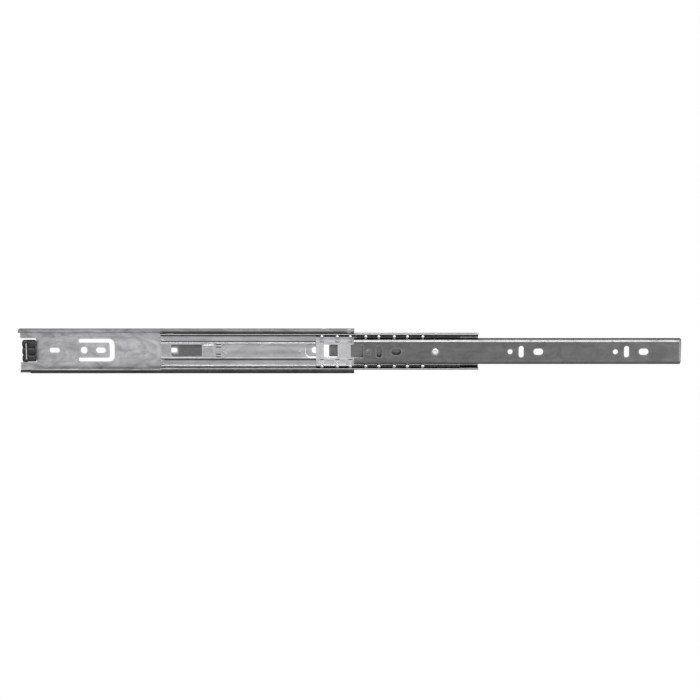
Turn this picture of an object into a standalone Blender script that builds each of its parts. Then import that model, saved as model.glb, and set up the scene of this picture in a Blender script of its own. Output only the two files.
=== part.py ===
"""A full-extension ball-bearing drawer slide with three nested steel rails, drawn fully extended.

X runs along the slide towards the drawer front, Z is up, and the cabinet wall is the plane y = 0.
The drawer side faces -Y. Sizes are in millimetres and become metres when a mesh is made. Places
along the slide are measured from the rear end of the outer rail, and depths from the cabinet wall.
"""

import math

import bmesh
import bpy
from mathutils import Matrix, Vector

MM = 0.001

# Lengths along the slide, from the rear end of the outer rail.
OUTER_LENGTH = 350.0
ORIGIN_FROM_REAR = OUTER_LENGTH / 2
MIDDLE_SPAN = (147.6, 479.6)
INNER_SPAN = (349.6, 690.4)
OUTER_CAGE_SPAN = (155.0, 335.0)
INNER_CAGE_SPAN = (310.0, 460.4)

# Sheet thicknesses.
OUTER_SHEET = 1.2
MIDDLE_SHEET = 1.1
INNER_SHEET = 1.2
OUTER_CAGE_SHEET = 0.5
INNER_CAGE_SHEET = 0.6

# Upper half of each section on the middle of its sheet, as (depth from the wall, height).
OUTER_SECTION = ((0.6, 0.0), (0.6, 20.4), (2.8, 22.7), (9.0, 22.7), (11.9, 20.0))
MIDDLE_SECTION = (
    (3.3, 0.0),
    (3.3, 8.7),
    (2.9, 9.3),
    (2.9, 15.6),
    (4.0, 17.45),
    (6.7, 17.45),
    (7.6, 18.9),
    (9.4, 18.9),
    (11.0, 18.1),
    (12.1, 18.1),
)
INNER_SECTION = (
    (12.1, 0.0),
    (12.1, 10.2),
    (11.2, 12.1),
    (10.3, 12.55),
    (8.1, 12.55),
    (7.1, 13.1),
    (6.2, 13.1),
)
OUTER_CAGE_SECTION = ((1.75, 0.0), (1.75, 20.06), (6.4, 20.06))
INNER_CAGE_SECTION = ((5.1, 0.0), (5.1, 15.6), (10.4, 15.6))
BEND_RADIUS = 0.9
BEND_STEPS = 3

# Balls: radius, centre as (depth, height), hole radius in the cage, and places along the slide.
OUTER_BALL_RADIUS = 1.985
OUTER_BALL_CENTRE = (5.2, 20.06)
OUTER_BALLS_PER_ROW = 9
OUTER_BALL_PITCH = 19.5
INNER_BALL_RADIUS = 2.38
INNER_BALL_CENTRE = (9.2, 15.6)
INNER_BALLS_PER_ROW = 8
INNER_BALL_FIRST = 316.3
INNER_BALL_GAPS = (16.1, 13.6)
BALL_POCKET_CLEARANCE = 0.12
POCKET_SIDES = 20

# Openings in the outer rail's web, as (place, width, height).
CABINET_SLOTS = ((35.8, 10.8, 5.2), (84.3, 10.4, 5.9), (160.0, 9.2, 4.9))
CABINET_HOLES = ((66.7, 7.2), (308.7, 6.9))
FRONT_SLOT = (316.6, 323.6, 14.0)
TONGUE_CUT = (60.9, 98.8, 24.1)
TONGUE_CUT_ARM = 4.2
TONGUE_CUT_LEG = 5.4
TONGUE_CUT_CORNER = 6.1
REAR_NOTCH = (16.8, 25.4)

# The lower lip of the outer rail is cut back at the rear, for the moving rails' entry.
LIP_RELIEF_END = 11.8
LIP_RELIEF_DEPTH = 4.2
LIP_RELIEF_TOP = -16.0

# The bent tab that carries the rear bumper, and the bumper.
TAB_PLACE = 8.2
TAB_SHEET = 1.2
TAB_OVERLAP = 0.5
TAB_HALF_HEIGHT = 8.4
TAB_DEPTH = 10.6
BUMPER_SPAN = (3.4, 17.6)
BUMPER_HALF_HEIGHT = 12.0
BUMPER_LOBES = 3
BUMPER_LOBE_DEPTH = 0.9
BUMPER_BACK = 1.5
BUMPER_STEP = 5.3
BUMPER_FRONT = 11.0
BUMPER_NOSE_HALF_HEIGHT = 10.2
BUMPER_NOSE_START = 8.9
BUMPER_SLOT = (7.0, 10.0, 8.6)

# Openings in the middle rail's web: two windows as (start, end) and a hole as (place, diameter).
MIDDLE_REAR_WINDOW = (158.5, 190.6)
MIDDLE_FRONT_WINDOW = (317.0, 333.6)
MIDDLE_WINDOW_HEIGHT = 12.6
MIDDLE_WINDOW_CHAMFER = 2.6
MIDDLE_HOLE = (308.7, 7.2)
BRIDGE_SLITS = (205.1, 210.8)
BRIDGE_SLIT_HEIGHTS = (6.6, 3.7, -3.7, -6.6)
BRIDGE_SLIT_WIDTH = 1.3

# Windows in the inner ball cage and a relief slit beside each ball, and windows in the outer one.
INNER_CAGE_WINDOWS = ((318.3, 332.7), (346.3, 359.6), (372.0, 400.0), (412.0, 440.0))
INNER_CAGE_WINDOW_HEIGHT = 13.4
INNER_CAGE_SLIT = (4.6, 0.8)
INNER_CAGE_SLIT_HEIGHT = 9.3
OUTER_CAGE_WINDOWS = ((154.0, 165.6, 7.2), (303.5, 313.9, 10.0), (316.2, 323.9, 15.0))

# Screw holes in the inner rail: the place of each group's round hole, and the pattern of a group.
DRAWER_HOLE_GROUPS = (364.3, 512.3, 622.0)
DRAWER_ROUND_HOLE = 5.2
DRAWER_UPRIGHT_SLOT = (11.6, 5.2, 12.0)
DRAWER_LONG_SLOT = (29.4, 10.1, 6.6)
INNER_NOTCH = (359.5, 13.9)

# The release lever on its rivet, behind the inner rail's web.
RIVET_PLACE = 434.4
RIVET_HEAD = (3.3, 0.42)
RIVET_TAIL = (2.9, 0.8)
RIVET_SHANK = 1.8
RIVET_PLAY = 0.08
RIVET_CHAMFER = 0.3
RIVET_DIMPLE = (3.7, 0.55)
RIVET_HOLE = 2.05
LEVER_DEPTHS = (7.9, 11.2)
LEVER_HOLE = 2.1
LEVER_HUB = 5.4
LEVER_REAR = 404.0
LEVER_FRONT = 476.0
LEVER_TOOTH_HEIGHT = 7.4
LEVER_ARM = 3.2
LEVER_THUMB = 6.6
LEVER_THUMB_START = 12.0
LEVER_THUMB_RAMP = 4.0
LEVER_TOOTH_WIDTH = 6.0
LEVER_TOOTH_FACE = 1.0

CUT_MARGIN = 1.0
ROUND_SIDES = 24


def new_collection(name):
    collection = bpy.data.collections.new(name)
    bpy.context.scene.collection.children.link(collection)
    return collection


def material(name, colour, roughness, metallic):
    made = bpy.data.materials.new(name)
    made.use_nodes = True
    shader = made.node_tree.nodes["Principled BSDF"]
    shader.inputs["Base Color"].default_value = (*colour, 1.0)
    shader.inputs["Roughness"].default_value = roughness
    shader.inputs["Metallic"].default_value = metallic
    return made


def along(place):
    """World X, in metres, of a place measured from the outer rail's rear end."""
    return (place - ORIGIN_FROM_REAR) * MM


def arc_corner(before, corner, after, radius, steps):
    """Points of the arc that rounds one corner of a path, or the corner where it is straight."""
    to_before = Vector(before) - Vector(corner)
    to_after = Vector(after) - Vector(corner)
    half_angle = to_before.angle(to_after) / 2
    reach = min(radius / math.tan(half_angle), 0.45 * min(to_before.length, to_after.length))
    radius = reach * math.tan(half_angle)
    middle = (to_before.normalized() + to_after.normalized()).normalized()
    centre = Vector(corner) + middle * (radius / math.sin(half_angle))
    first = Vector(corner) + to_before.normalized() * reach - centre
    last = Vector(corner) + to_after.normalized() * reach - centre
    turn = first.angle(last) / steps
    side = 1.0 if first.x * last.y - first.y * last.x > 0 else -1.0
    turns = [side * turn * step for step in range(steps + 1)]
    return [centre + Matrix.Rotation(angle, 2) @ first for angle in turns]


def rounded_path(corners, radius, steps):
    """An open path whose inner corners are arcs."""
    points = [Vector(corners[0])]
    for before, corner, after in zip(corners, corners[1:], corners[2:]):
        points += arc_corner(before, corner, after, radius, steps)
    return points + [Vector(corners[-1])]


def rounded_loop(corners, radii, steps):
    """A closed outline whose corners are arcs, each of its own radius; radius 0 keeps it sharp."""
    points = []
    count = len(corners)
    for index, (corner, radius) in enumerate(zip(corners, radii)):
        before = corners[index - 1]
        after = corners[(index + 1) % count]
        if radius:
            points += arc_corner(before, corner, after, radius, steps)
        else:
            points.append(Vector(corner))
    return points


def add_object(name, mesh, collection):
    made = bpy.data.objects.new(name, mesh)
    collection.objects.link(made)
    return made


def finish_part(piece, surface):
    """Gives a piece its material, and smooth shading that stays sharp at its edges."""
    piece.data.materials.append(surface)
    piece.data.shade_smooth()
    piece.data.set_sharp_from_angle(angle=math.radians(30.0))


def bent_sheet(name, path, sweep, thickness, collection):
    """A bent sheet: its middle surface is a path drawn along a straight line, thickened by Solidify."""
    bm = bmesh.new()
    start = [bm.verts.new(Vector(point) * MM) for point in path]
    for one, two in zip(start, start[1:]):
        bm.edges.new((one, two))
    drawn = bmesh.ops.extrude_edge_only(bm, edges=bm.edges[:])
    new_verts = [item for item in drawn["geom"] if isinstance(item, bmesh.types.BMVert)]
    bmesh.ops.translate(bm, verts=new_verts, vec=Vector(sweep) * MM)
    bmesh.ops.recalc_face_normals(bm, faces=bm.faces[:])
    mesh = bpy.data.meshes.new(name)
    bm.to_mesh(mesh)
    bm.free()
    piece = add_object(name, mesh, collection)
    solid = piece.modifiers.new("sheet", "SOLIDIFY")
    solid.thickness = thickness * MM
    solid.offset = 0.0
    solid.use_even_offset = True
    return piece


def pressed_rail(name, half_section, span, thickness, collection):
    """A straight pressed section, mirrored about the slide's middle, with its origin at its rear end."""
    upper = rounded_path(half_section, BEND_RADIUS, BEND_STEPS)
    lower = [Vector((point.x, -point.y)) for point in reversed(upper[1:])]
    path = [(0.0, -depth, height) for depth, height in lower + upper[1:]]
    rail = bent_sheet(name, path, (span[1] - span[0], 0.0, 0.0), thickness, collection)
    rail.location = (along(span[0]), 0.0, 0.0)
    return rail


def web_depths(section, thickness):
    """The back and the front of a section's web, which is the sheet's first stretch."""
    return section[0][0] - thickness / 2, section[0][0] + thickness / 2


def outline_plate(name, outline, depths, collection):
    """A flat outline in X and Z, filled and extruded between two depths from the wall."""
    curve = bpy.data.curves.new(name, "CURVE")
    curve.dimensions = "2D"
    curve.fill_mode = "BOTH"
    curve.extrude = (depths[1] - depths[0]) / 2 * MM
    spline = curve.splines.new("POLY")
    spline.points.add(len(outline) - 1)
    for point, place in zip(spline.points, outline):
        point.co = (place[0] * MM, place[1] * MM, 0.0, 1.0)
    spline.use_cyclic_u = True
    drawn = add_object(name + "_outline", curve, collection)
    bpy.context.view_layer.update()
    evaluated = drawn.evaluated_get(bpy.context.evaluated_depsgraph_get())
    mesh = bpy.data.meshes.new_from_object(evaluated)
    bpy.data.objects.remove(drawn)
    bm = bmesh.new()
    bm.from_mesh(mesh)
    bmesh.ops.remove_doubles(bm, verts=bm.verts[:], dist=1e-6)
    stand = Matrix.Rotation(math.radians(90.0), 4, "X")
    bmesh.ops.transform(bm, matrix=stand, verts=bm.verts[:])
    bmesh.ops.translate(bm, verts=bm.verts[:], vec=(0.0, -sum(depths) / 2 * MM, 0.0))
    bmesh.ops.recalc_face_normals(bm, faces=bm.faces[:])
    bm.to_mesh(mesh)
    bm.free()
    mesh.name = name
    return add_object(name, mesh, collection)


class Cutter:
    """The separate shapes that one piece is cut with, gathered in one mesh."""

    def __init__(self, name, depths):
        self.name = name
        self.low = depths[0] - CUT_MARGIN
        self.high = depths[1] + CUT_MARGIN
        self.bm = bmesh.new()

    def box(self, start, end, bottom, top, depths=None):
        low, high = depths or (self.low, self.high)
        size = Matrix.Diagonal(((end - start) * MM, (high - low) * MM, (top - bottom) * MM, 1.0))
        place = Vector((along((start + end) / 2), -(low + high) / 2 * MM, (bottom + top) / 2 * MM))
        made = bmesh.ops.create_cube(self.bm, size=1.0, matrix=Matrix.Translation(place) @ size)
        return made["verts"]

    def bore(self, place, radius, height=0.0, depths=None, sides=ROUND_SIDES):
        """A round hole through the depth of the slide."""
        low, high = depths or (self.low, self.high)
        turn = Matrix.Rotation(math.radians(90.0), 4, "X")
        centre = Vector((along(place), -(low + high) / 2 * MM, height * MM))
        made = bmesh.ops.create_cone(
            self.bm,
            cap_ends=True,
            segments=sides,
            radius1=radius * MM,
            radius2=radius * MM,
            depth=(high - low) * MM,
            matrix=Matrix.Translation(centre) @ turn @ Matrix.Rotation(math.pi / sides, 4, "Z"),
        )
        return made["verts"]

    def slot(self, place, width, height):
        """A slot with round ends: a round hole whose two halves are moved apart along its length."""
        verts = self.bore(place, min(width, height) / 2)
        stretch = abs(width - height) / 2 * MM
        for vert in verts:
            if width > height:
                vert.co.x += math.copysign(stretch, vert.co.x - along(place))
            else:
                vert.co.z += math.copysign(stretch, vert.co.z)

    def pocket(self, place, depth, radius, top):
        """A round hole up and down, through both sides of a cage."""
        bmesh.ops.create_cone(
            self.bm,
            cap_ends=True,
            segments=POCKET_SIDES,
            radius1=radius * MM,
            radius2=radius * MM,
            depth=2 * top * MM,
            matrix=Matrix.Translation((along(place), -depth * MM, 0.0)),
        )

    def add_mesh(self, piece):
        """Takes over another object's mesh, then removes that object."""
        self.bm.from_mesh(piece.data)
        bpy.data.objects.remove(piece)

    def cut(self, piece, collection):
        mesh = bpy.data.meshes.new(self.name)
        self.bm.to_mesh(mesh)
        self.bm.free()
        tool = add_object(self.name, mesh, collection)
        tool.hide_render = True
        tool.display_type = "WIRE"
        cut = piece.modifiers.new(self.name, "BOOLEAN")
        cut.operation = "DIFFERENCE"
        cut.object = tool


def tongue_cut_outline():
    """The U that frees a tongue of the outer rail's web, open towards the rear, as X and Z."""
    start, end, height = TONGUE_CUT
    start -= ORIGIN_FROM_REAR
    end -= ORIGIN_FROM_REAR
    half = height / 2
    inside = half - TONGUE_CUT_ARM
    leg = end - TONGUE_CUT_LEG
    arm_end = TONGUE_CUT_ARM * 0.49
    inner_corner = TONGUE_CUT_CORNER - TONGUE_CUT_ARM
    corners = (
        (start, half),
        (start, inside),
        (leg, inside),
        (leg, -inside),
        (start, -inside),
        (start, -half),
        (end, -half),
        (end, half),
    )
    radii = (arm_end, arm_end, inner_corner, inner_corner, arm_end, arm_end)
    return rounded_loop(corners, radii + (TONGUE_CUT_CORNER, TONGUE_CUT_CORNER), 5)


def build_outer_rail(parts, cutters, surface):
    """The cabinet rail: a C section with a notch, a bent bumper tab and its screw holes."""
    span = (0.0, OUTER_LENGTH)
    rail = pressed_rail("outer_rail", OUTER_SECTION, span, OUTER_SHEET, parts)
    tool = Cutter("outer_rail_cutter", web_depths(OUTER_SECTION, OUTER_SHEET))
    tool.box(-CUT_MARGIN, REAR_NOTCH[0], -REAR_NOTCH[1] / 2, REAR_NOTCH[1] / 2)
    for place, width, height in CABINET_SLOTS:
        tool.slot(place, width, height)
    for place, diameter in CABINET_HOLES:
        tool.bore(place, diameter / 2)
    tool.box(FRONT_SLOT[0], FRONT_SLOT[1], -FRONT_SLOT[2] / 2, FRONT_SLOT[2] / 2)
    tool.add_mesh(outline_plate("tongue_cut", tongue_cut_outline(), (tool.low, tool.high), cutters))
    tool.cut(rail, cutters)
    relief = Cutter("lip_relief_cutter", (0.0, OUTER_SECTION[-1][0]))
    depths = (LIP_RELIEF_DEPTH, relief.high)
    relief.box(-CUT_MARGIN, LIP_RELIEF_END, -OUTER_SECTION[3][1] - CUT_MARGIN, LIP_RELIEF_TOP, depths)
    relief.cut(rail, cutters)
    tab = build_bumper_tab(cutters)
    join = rail.modifiers.new("bumper_tab", "BOOLEAN")
    join.operation = "UNION"
    join.object = tab
    finish_part(rail, surface)
    return rail


def build_bumper_tab(cutters):
    """The strip of web left in the rear notch and bent up to hold the bumper."""
    middle = OUTER_SHEET / 2
    bend = TAB_PLACE - ORIGIN_FROM_REAR
    corners = (
        (REAR_NOTCH[0] + TAB_OVERLAP - ORIGIN_FROM_REAR, middle),
        (bend, middle),
        (bend, TAB_DEPTH),
    )
    path = rounded_path(corners, BEND_RADIUS, BEND_STEPS)
    path = [(along_x, -depth, -TAB_HALF_HEIGHT) for along_x, depth in path]
    sweep = (0.0, 0.0, 2 * TAB_HALF_HEIGHT)
    tab = bent_sheet("bumper_tab", path, sweep, TAB_SHEET, cutters)
    tab.hide_render = True
    tab.display_type = "WIRE"
    return tab


def build_middle_rail(parts, cutters, surface):
    """The intermediate rail, with ball grooves on both sides of each flange and two windows."""
    rail = pressed_rail("middle_rail", MIDDLE_SECTION, MIDDLE_SPAN, MIDDLE_SHEET, parts)
    tool = Cutter("middle_rail_cutter", web_depths(MIDDLE_SECTION, MIDDLE_SHEET))
    half = MIDDLE_WINDOW_HEIGHT / 2
    tool.box(MIDDLE_REAR_WINDOW[0], MIDDLE_REAR_WINDOW[1], -half, half)
    upright = [edge for edge in tool.bm.edges if is_low_rear_edge(edge, MIDDLE_REAR_WINDOW[0])]
    bmesh.ops.bevel(
        tool.bm,
        geom=upright,
        offset=MIDDLE_WINDOW_CHAMFER * MM,
        segments=1,
        affect="EDGES",
    )
    tool.box(MIDDLE_FRONT_WINDOW[0], MIDDLE_FRONT_WINDOW[1], -half, half)
    tool.bore(MIDDLE_HOLE[0], MIDDLE_HOLE[1] / 2)
    for height in BRIDGE_SLIT_HEIGHTS:
        half = BRIDGE_SLIT_WIDTH / 2
        tool.box(BRIDGE_SLITS[0], BRIDGE_SLITS[1], height - half, height + half)
    tool.cut(rail, cutters)
    finish_part(rail, surface)
    return rail


def is_low_rear_edge(edge, start):
    """Whether an edge of a window's cutter is the one at its rear lower corner."""
    return all(abs(v.co.x - along(start)) < 1e-6 and v.co.z < 0 for v in edge.verts)


def build_inner_rail(parts, cutters, surface):
    """The drawer rail, with three groups of screw holes, a rear notch and a dimple for the rivet."""
    rail = pressed_rail("inner_rail", INNER_SECTION, INNER_SPAN, INNER_SHEET, parts)
    web = web_depths(INNER_SECTION, INNER_SHEET)
    tool = Cutter("inner_rail_cutter", web)
    half = INNER_NOTCH[1] / 2
    tool.box(INNER_SPAN[0] - CUT_MARGIN, INNER_NOTCH[0], -half, half)
    for group in DRAWER_HOLE_GROUPS:
        tool.bore(group, DRAWER_ROUND_HOLE / 2)
        for offset, width, height in (DRAWER_UPRIGHT_SLOT, DRAWER_LONG_SLOT):
            tool.slot(group + offset, width, height)
    tool.bore(RIVET_PLACE, RIVET_HOLE)
    tool.cut(rail, cutters)
    dimple = Cutter("rivet_dimple_cutter", web)
    floor = web[1] - RIVET_DIMPLE[1]
    dimple.bore(RIVET_PLACE, RIVET_DIMPLE[0], depths=(floor, web[1] + CUT_MARGIN))
    dimple.cut(rail, cutters)
    finish_part(rail, surface)
    return rail


def inner_ball_places():
    """Places of the inner balls along a row, which alternate between a long and a short gap."""
    places = [INNER_BALL_FIRST]
    for index in range(INNER_BALLS_PER_ROW - 1):
        places.append(places[-1] + INNER_BALL_GAPS[index % 2])
    return places


def outer_ball_places():
    """Evenly spaced places of the outer balls, centred in their cage."""
    middle = sum(OUTER_CAGE_SPAN) / 2
    first = middle - OUTER_BALL_PITCH * (OUTER_BALLS_PER_ROW - 1) / 2
    return [first + OUTER_BALL_PITCH * index for index in range(OUTER_BALLS_PER_ROW)]


def build_outer_cage(parts, cutters, surface):
    """The strip that spaces the balls between the outer and the middle rail."""
    thickness = OUTER_CAGE_SHEET
    cage = pressed_rail("outer_ball_cage", OUTER_CAGE_SECTION, OUTER_CAGE_SPAN, thickness, parts)
    web = web_depths(OUTER_CAGE_SECTION, OUTER_CAGE_SHEET)
    tool = Cutter("outer_cage_cutter", web)
    for place in outer_ball_places():
        radius = OUTER_BALL_RADIUS + BALL_POCKET_CLEARANCE
        tool.pocket(place, OUTER_BALL_CENTRE[0], radius, OUTER_BALL_CENTRE[1] + CUT_MARGIN)
    tool.cut(cage, cutters)
    windows = Cutter("outer_cage_window_cutter", web)
    for start, end, height in OUTER_CAGE_WINDOWS:
        windows.box(start, end, -height / 2, height / 2)
    windows.cut(cage, cutters)
    finish_part(cage, surface)
    return cage


def build_inner_cage(parts, cutters, surface):
    """The windowed strip that spaces the balls between the middle and the inner rail."""
    thickness = INNER_CAGE_SHEET
    cage = pressed_rail("inner_ball_cage", INNER_CAGE_SECTION, INNER_CAGE_SPAN, thickness, parts)
    web = web_depths(INNER_CAGE_SECTION, INNER_CAGE_SHEET)
    pockets = Cutter("inner_cage_pocket_cutter", web)
    for place in inner_ball_places():
        radius = INNER_BALL_RADIUS + BALL_POCKET_CLEARANCE
        pockets.pocket(place, INNER_BALL_CENTRE[0], radius, INNER_BALL_CENTRE[1] + CUT_MARGIN)
    pockets.cut(cage, cutters)
    windows = Cutter("inner_cage_window_cutter", web)
    half = INNER_CAGE_WINDOW_HEIGHT / 2
    for start, end in INNER_CAGE_WINDOWS:
        windows.box(start, end, -half, half)
    half_length, half = (size / 2 for size in INNER_CAGE_SLIT)
    for place in inner_ball_places():
        for height in (INNER_CAGE_SLIT_HEIGHT, -INNER_CAGE_SLIT_HEIGHT):
            windows.box(place - half_length, place + half_length, height - half, height + half)
    windows.cut(cage, cutters)
    finish_part(cage, surface)
    return cage


def build_balls(prefix, places, radius, centre, parts, surface):
    """Two rows of balls, upper and lower, that share one mesh."""
    bm = bmesh.new()
    bmesh.ops.create_icosphere(bm, subdivisions=2, radius=radius * MM)
    mesh = bpy.data.meshes.new(prefix)
    bm.to_mesh(mesh)
    bm.free()
    mesh.materials.append(surface)
    mesh.shade_smooth()
    for row, side in (("upper", 1.0), ("lower", -1.0)):
        for number, place in enumerate(places, start=1):
            ball = add_object(f"{prefix}_{row}_{number}", mesh, parts)
            ball.location = (along(place), -centre[0] * MM, side * centre[1] * MM)


def bumper_outline():
    """The bumper from the drawer side: three round lobes down each long edge."""
    lobe_height = 2 * BUMPER_HALF_HEIGHT / BUMPER_LOBES
    steps = 7
    edge = []
    for lobe in range(BUMPER_LOBES):
        bottom = -BUMPER_HALF_HEIGHT + lobe * lobe_height
        for step in range(steps):
            share = (step + 0.5) / steps
            edge.append((math.sin(math.pi * share) ** 0.5, bottom + share * lobe_height))
    start, end = (place - ORIGIN_FROM_REAR for place in BUMPER_SPAN)
    valley = BUMPER_LOBE_DEPTH
    front = [(end - valley + valley * swell, height) for swell, height in edge]
    rear = [(start + valley - valley * swell, height) for swell, height in reversed(edge)]
    return front + rear


def build_bumper(parts, cutters, surface):
    """The rubber bumper that both moving rails close against, pushed over the bent tab. Its nose is
    low enough to pass between the inner rail's flanges."""
    depths = (BUMPER_BACK, BUMPER_FRONT)
    bumper = outline_plate("rear_bumper", bumper_outline(), depths, parts)
    tool = Cutter("bumper_cutter", depths)
    tool.box(BUMPER_SLOT[0], BUMPER_SLOT[1], -BUMPER_SLOT[2], BUMPER_SLOT[2])
    tool.cut(bumper, cutters)
    step = Cutter("bumper_step_cutter", depths)
    outside = BUMPER_HALF_HEIGHT + CUT_MARGIN
    for side in (1.0, -1.0):
        edges = sorted((side * BUMPER_NOSE_HALF_HEIGHT, side * outside))
        deep = (BUMPER_STEP, BUMPER_FRONT + CUT_MARGIN)
        step.box(BUMPER_NOSE_START, BUMPER_SPAN[1] + CUT_MARGIN, edges[0], edges[1], deep)
    step.cut(bumper, cutters)
    finish_part(bumper, surface)
    return bumper


def lever_outline():
    """The lever from the drawer side: a hooked catch at the rear, a hub, and a thumb pad in front."""
    pivot = RIVET_PLACE - ORIGIN_FROM_REAR
    rear = LEVER_REAR - ORIGIN_FROM_REAR
    front = LEVER_FRONT - ORIGIN_FROM_REAR
    arm = LEVER_ARM
    corners = (
        (rear, -arm),
        (pivot - LEVER_HUB, -arm),
        (pivot - LEVER_HUB / 2, -LEVER_HUB),
        (pivot + LEVER_HUB / 2, -LEVER_HUB),
        (pivot + LEVER_HUB, -arm),
        (front - LEVER_THUMB_START - LEVER_THUMB_RAMP, -arm),
        (front - LEVER_THUMB_START, -LEVER_THUMB),
        (front, -LEVER_THUMB),
        (front, arm),
        (pivot + LEVER_HUB, arm),
        (pivot + LEVER_HUB / 2, LEVER_HUB),
        (pivot - LEVER_HUB / 2, LEVER_HUB),
        (pivot - LEVER_HUB, arm),
        (rear + LEVER_TOOTH_WIDTH + LEVER_TOOTH_FACE, arm),
        (rear + LEVER_TOOTH_WIDTH, LEVER_TOOTH_HEIGHT),
        (rear, arm + LEVER_TOOTH_FACE),
    )
    radii = (1.5, 1.5, 2.5, 2.5, 1.5, 1.5, 1.5, 2.0, 2.0, 1.5, 2.5, 2.5, 1.5, 1.0, 0.6, 1.0)
    return rounded_loop(corners, radii, 3)


def build_lever(parts, cutters, surface):
    """The plastic lever that lets the drawer rail out, turning on the rivet."""
    pivot = bpy.data.objects.new("lever_pivot", None)
    pivot.location = (along(RIVET_PLACE), 0.0, 0.0)
    parts.objects.link(pivot)
    lever = outline_plate("release_lever", lever_outline(), LEVER_DEPTHS, parts)
    lever.parent = pivot
    bpy.context.view_layer.update()
    lever.matrix_parent_inverse = pivot.matrix_world.inverted()
    tool = Cutter("lever_cutter", LEVER_DEPTHS)
    tool.bore(RIVET_PLACE, LEVER_HOLE)
    tool.cut(lever, cutters)
    finish_part(lever, surface)
    return lever


def build_rivet(parts, surface):
    """The rivet that carries the lever, turned from a half profile about its axis."""
    web_front = web_depths(INNER_SECTION, INNER_SHEET)[1]
    head_floor = web_front - RIVET_DIMPLE[1] + RIVET_PLAY
    head_top = head_floor + RIVET_HEAD[1]
    tail_top = LEVER_DEPTHS[0] - RIVET_PLAY
    tail_floor = tail_top - RIVET_TAIL[1]
    profile = (
        (0.0, head_top),
        (RIVET_HEAD[0] - RIVET_CHAMFER, head_top),
        (RIVET_HEAD[0], head_top - RIVET_CHAMFER),
        (RIVET_HEAD[0], head_floor),
        (RIVET_SHANK, head_floor),
        (RIVET_SHANK, tail_top),
        (RIVET_TAIL[0], tail_top),
        (RIVET_TAIL[0] - RIVET_CHAMFER, tail_floor),
        (0.0, tail_floor),
    )
    mesh = bpy.data.meshes.new("lever_rivet")
    edges = [(index, index + 1) for index in range(len(profile) - 1)]
    mesh.from_pydata([(radius * MM, 0.0, height * MM) for radius, height in profile], edges, [])
    rivet = add_object("lever_rivet", mesh, parts)
    rivet.location = (along(RIVET_PLACE), 0.0, 0.0)
    rivet.rotation_euler = (math.radians(90.0), 0.0, 0.0)
    turned = rivet.modifiers.new("turned", "SCREW")
    turned.steps = ROUND_SIDES
    turned.render_steps = ROUND_SIDES
    turned.use_merge_vertices = True
    turned.merge_threshold = 0.00001
    turned.use_smooth_shade = True
    finish_part(rivet, surface)
    return rivet


def main():
    for leftover in list(bpy.data.objects):
        bpy.data.objects.remove(leftover)
    parts = new_collection("drawer_slide")
    cutters = new_collection("cutters")
    outer_zinc = material("outer_zinc", (0.42, 0.42, 0.43), 0.38, 1.0)
    middle_zinc = material("middle_zinc", (0.46, 0.46, 0.47), 0.32, 1.0)
    inner_zinc = material("inner_zinc", (0.25, 0.25, 0.26), 0.36, 1.0)
    cage_zinc = material("cage_zinc", (0.60, 0.60, 0.60), 0.35, 1.0)
    dark_steel = material("dark_steel", (0.14, 0.14, 0.14), 0.45, 1.0)
    ball_steel = material("ball_steel", (0.75, 0.75, 0.76), 0.08, 1.0)
    rivet_steel = material("rivet_steel", (0.68, 0.68, 0.68), 0.25, 1.0)
    black_rubber = material("black_rubber", (0.02, 0.02, 0.02), 0.55, 0.0)
    black_plastic = material("black_plastic", (0.03, 0.03, 0.03), 0.45, 0.0)
    build_outer_rail(parts, cutters, outer_zinc)
    build_bumper(parts, cutters, black_rubber)
    build_outer_cage(parts, cutters, dark_steel)
    build_middle_rail(parts, cutters, middle_zinc)
    build_inner_cage(parts, cutters, cage_zinc)
    build_inner_rail(parts, cutters, inner_zinc)
    build_lever(parts, cutters, black_plastic)
    build_rivet(parts, rivet_steel)
    outer_places = outer_ball_places()
    inner_places = inner_ball_places()
    build_balls("outer_ball", outer_places, OUTER_BALL_RADIUS, OUTER_BALL_CENTRE, parts, ball_steel)
    build_balls("inner_ball", inner_places, INNER_BALL_RADIUS, INNER_BALL_CENTRE, parts, ball_steel)


main()
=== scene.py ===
"""Looks of a full-extension drawer slide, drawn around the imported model: three nested zinc-plated
rails, their ball cages and balls, a rubber bumper, and a release lever on its rivet.

X runs along the slide towards the drawer front, Z is up and the drawer side faces -Y. Shapes are
worked out in millimetres as (place, depth, height) and become metres when a mesh is made. A place
is measured from the outer rail's rear end, and a depth from the cabinet wall towards the drawer.
"""

import math

import bpy
import numpy as np
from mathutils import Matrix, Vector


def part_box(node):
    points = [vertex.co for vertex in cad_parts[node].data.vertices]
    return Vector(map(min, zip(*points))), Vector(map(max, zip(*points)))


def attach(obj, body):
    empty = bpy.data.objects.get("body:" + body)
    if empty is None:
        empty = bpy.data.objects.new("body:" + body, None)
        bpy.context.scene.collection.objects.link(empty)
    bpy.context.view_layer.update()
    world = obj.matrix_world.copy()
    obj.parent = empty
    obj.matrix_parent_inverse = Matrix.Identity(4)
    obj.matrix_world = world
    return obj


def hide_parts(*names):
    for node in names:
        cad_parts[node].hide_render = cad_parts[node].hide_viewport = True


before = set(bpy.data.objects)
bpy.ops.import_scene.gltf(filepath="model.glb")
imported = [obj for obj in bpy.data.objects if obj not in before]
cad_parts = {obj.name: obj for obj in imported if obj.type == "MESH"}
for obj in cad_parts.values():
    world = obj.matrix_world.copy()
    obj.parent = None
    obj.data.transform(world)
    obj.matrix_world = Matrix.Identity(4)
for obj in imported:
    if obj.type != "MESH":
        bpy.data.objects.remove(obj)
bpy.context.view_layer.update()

MM = 0.001
REAR_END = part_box("outer_rail")[0].x / MM
RIVET_LOW, RIVET_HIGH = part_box("lever_rivet")
RIVET_PLACE = (RIVET_LOW.x + RIVET_HIGH.x) / 2 / MM - REAR_END

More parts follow.
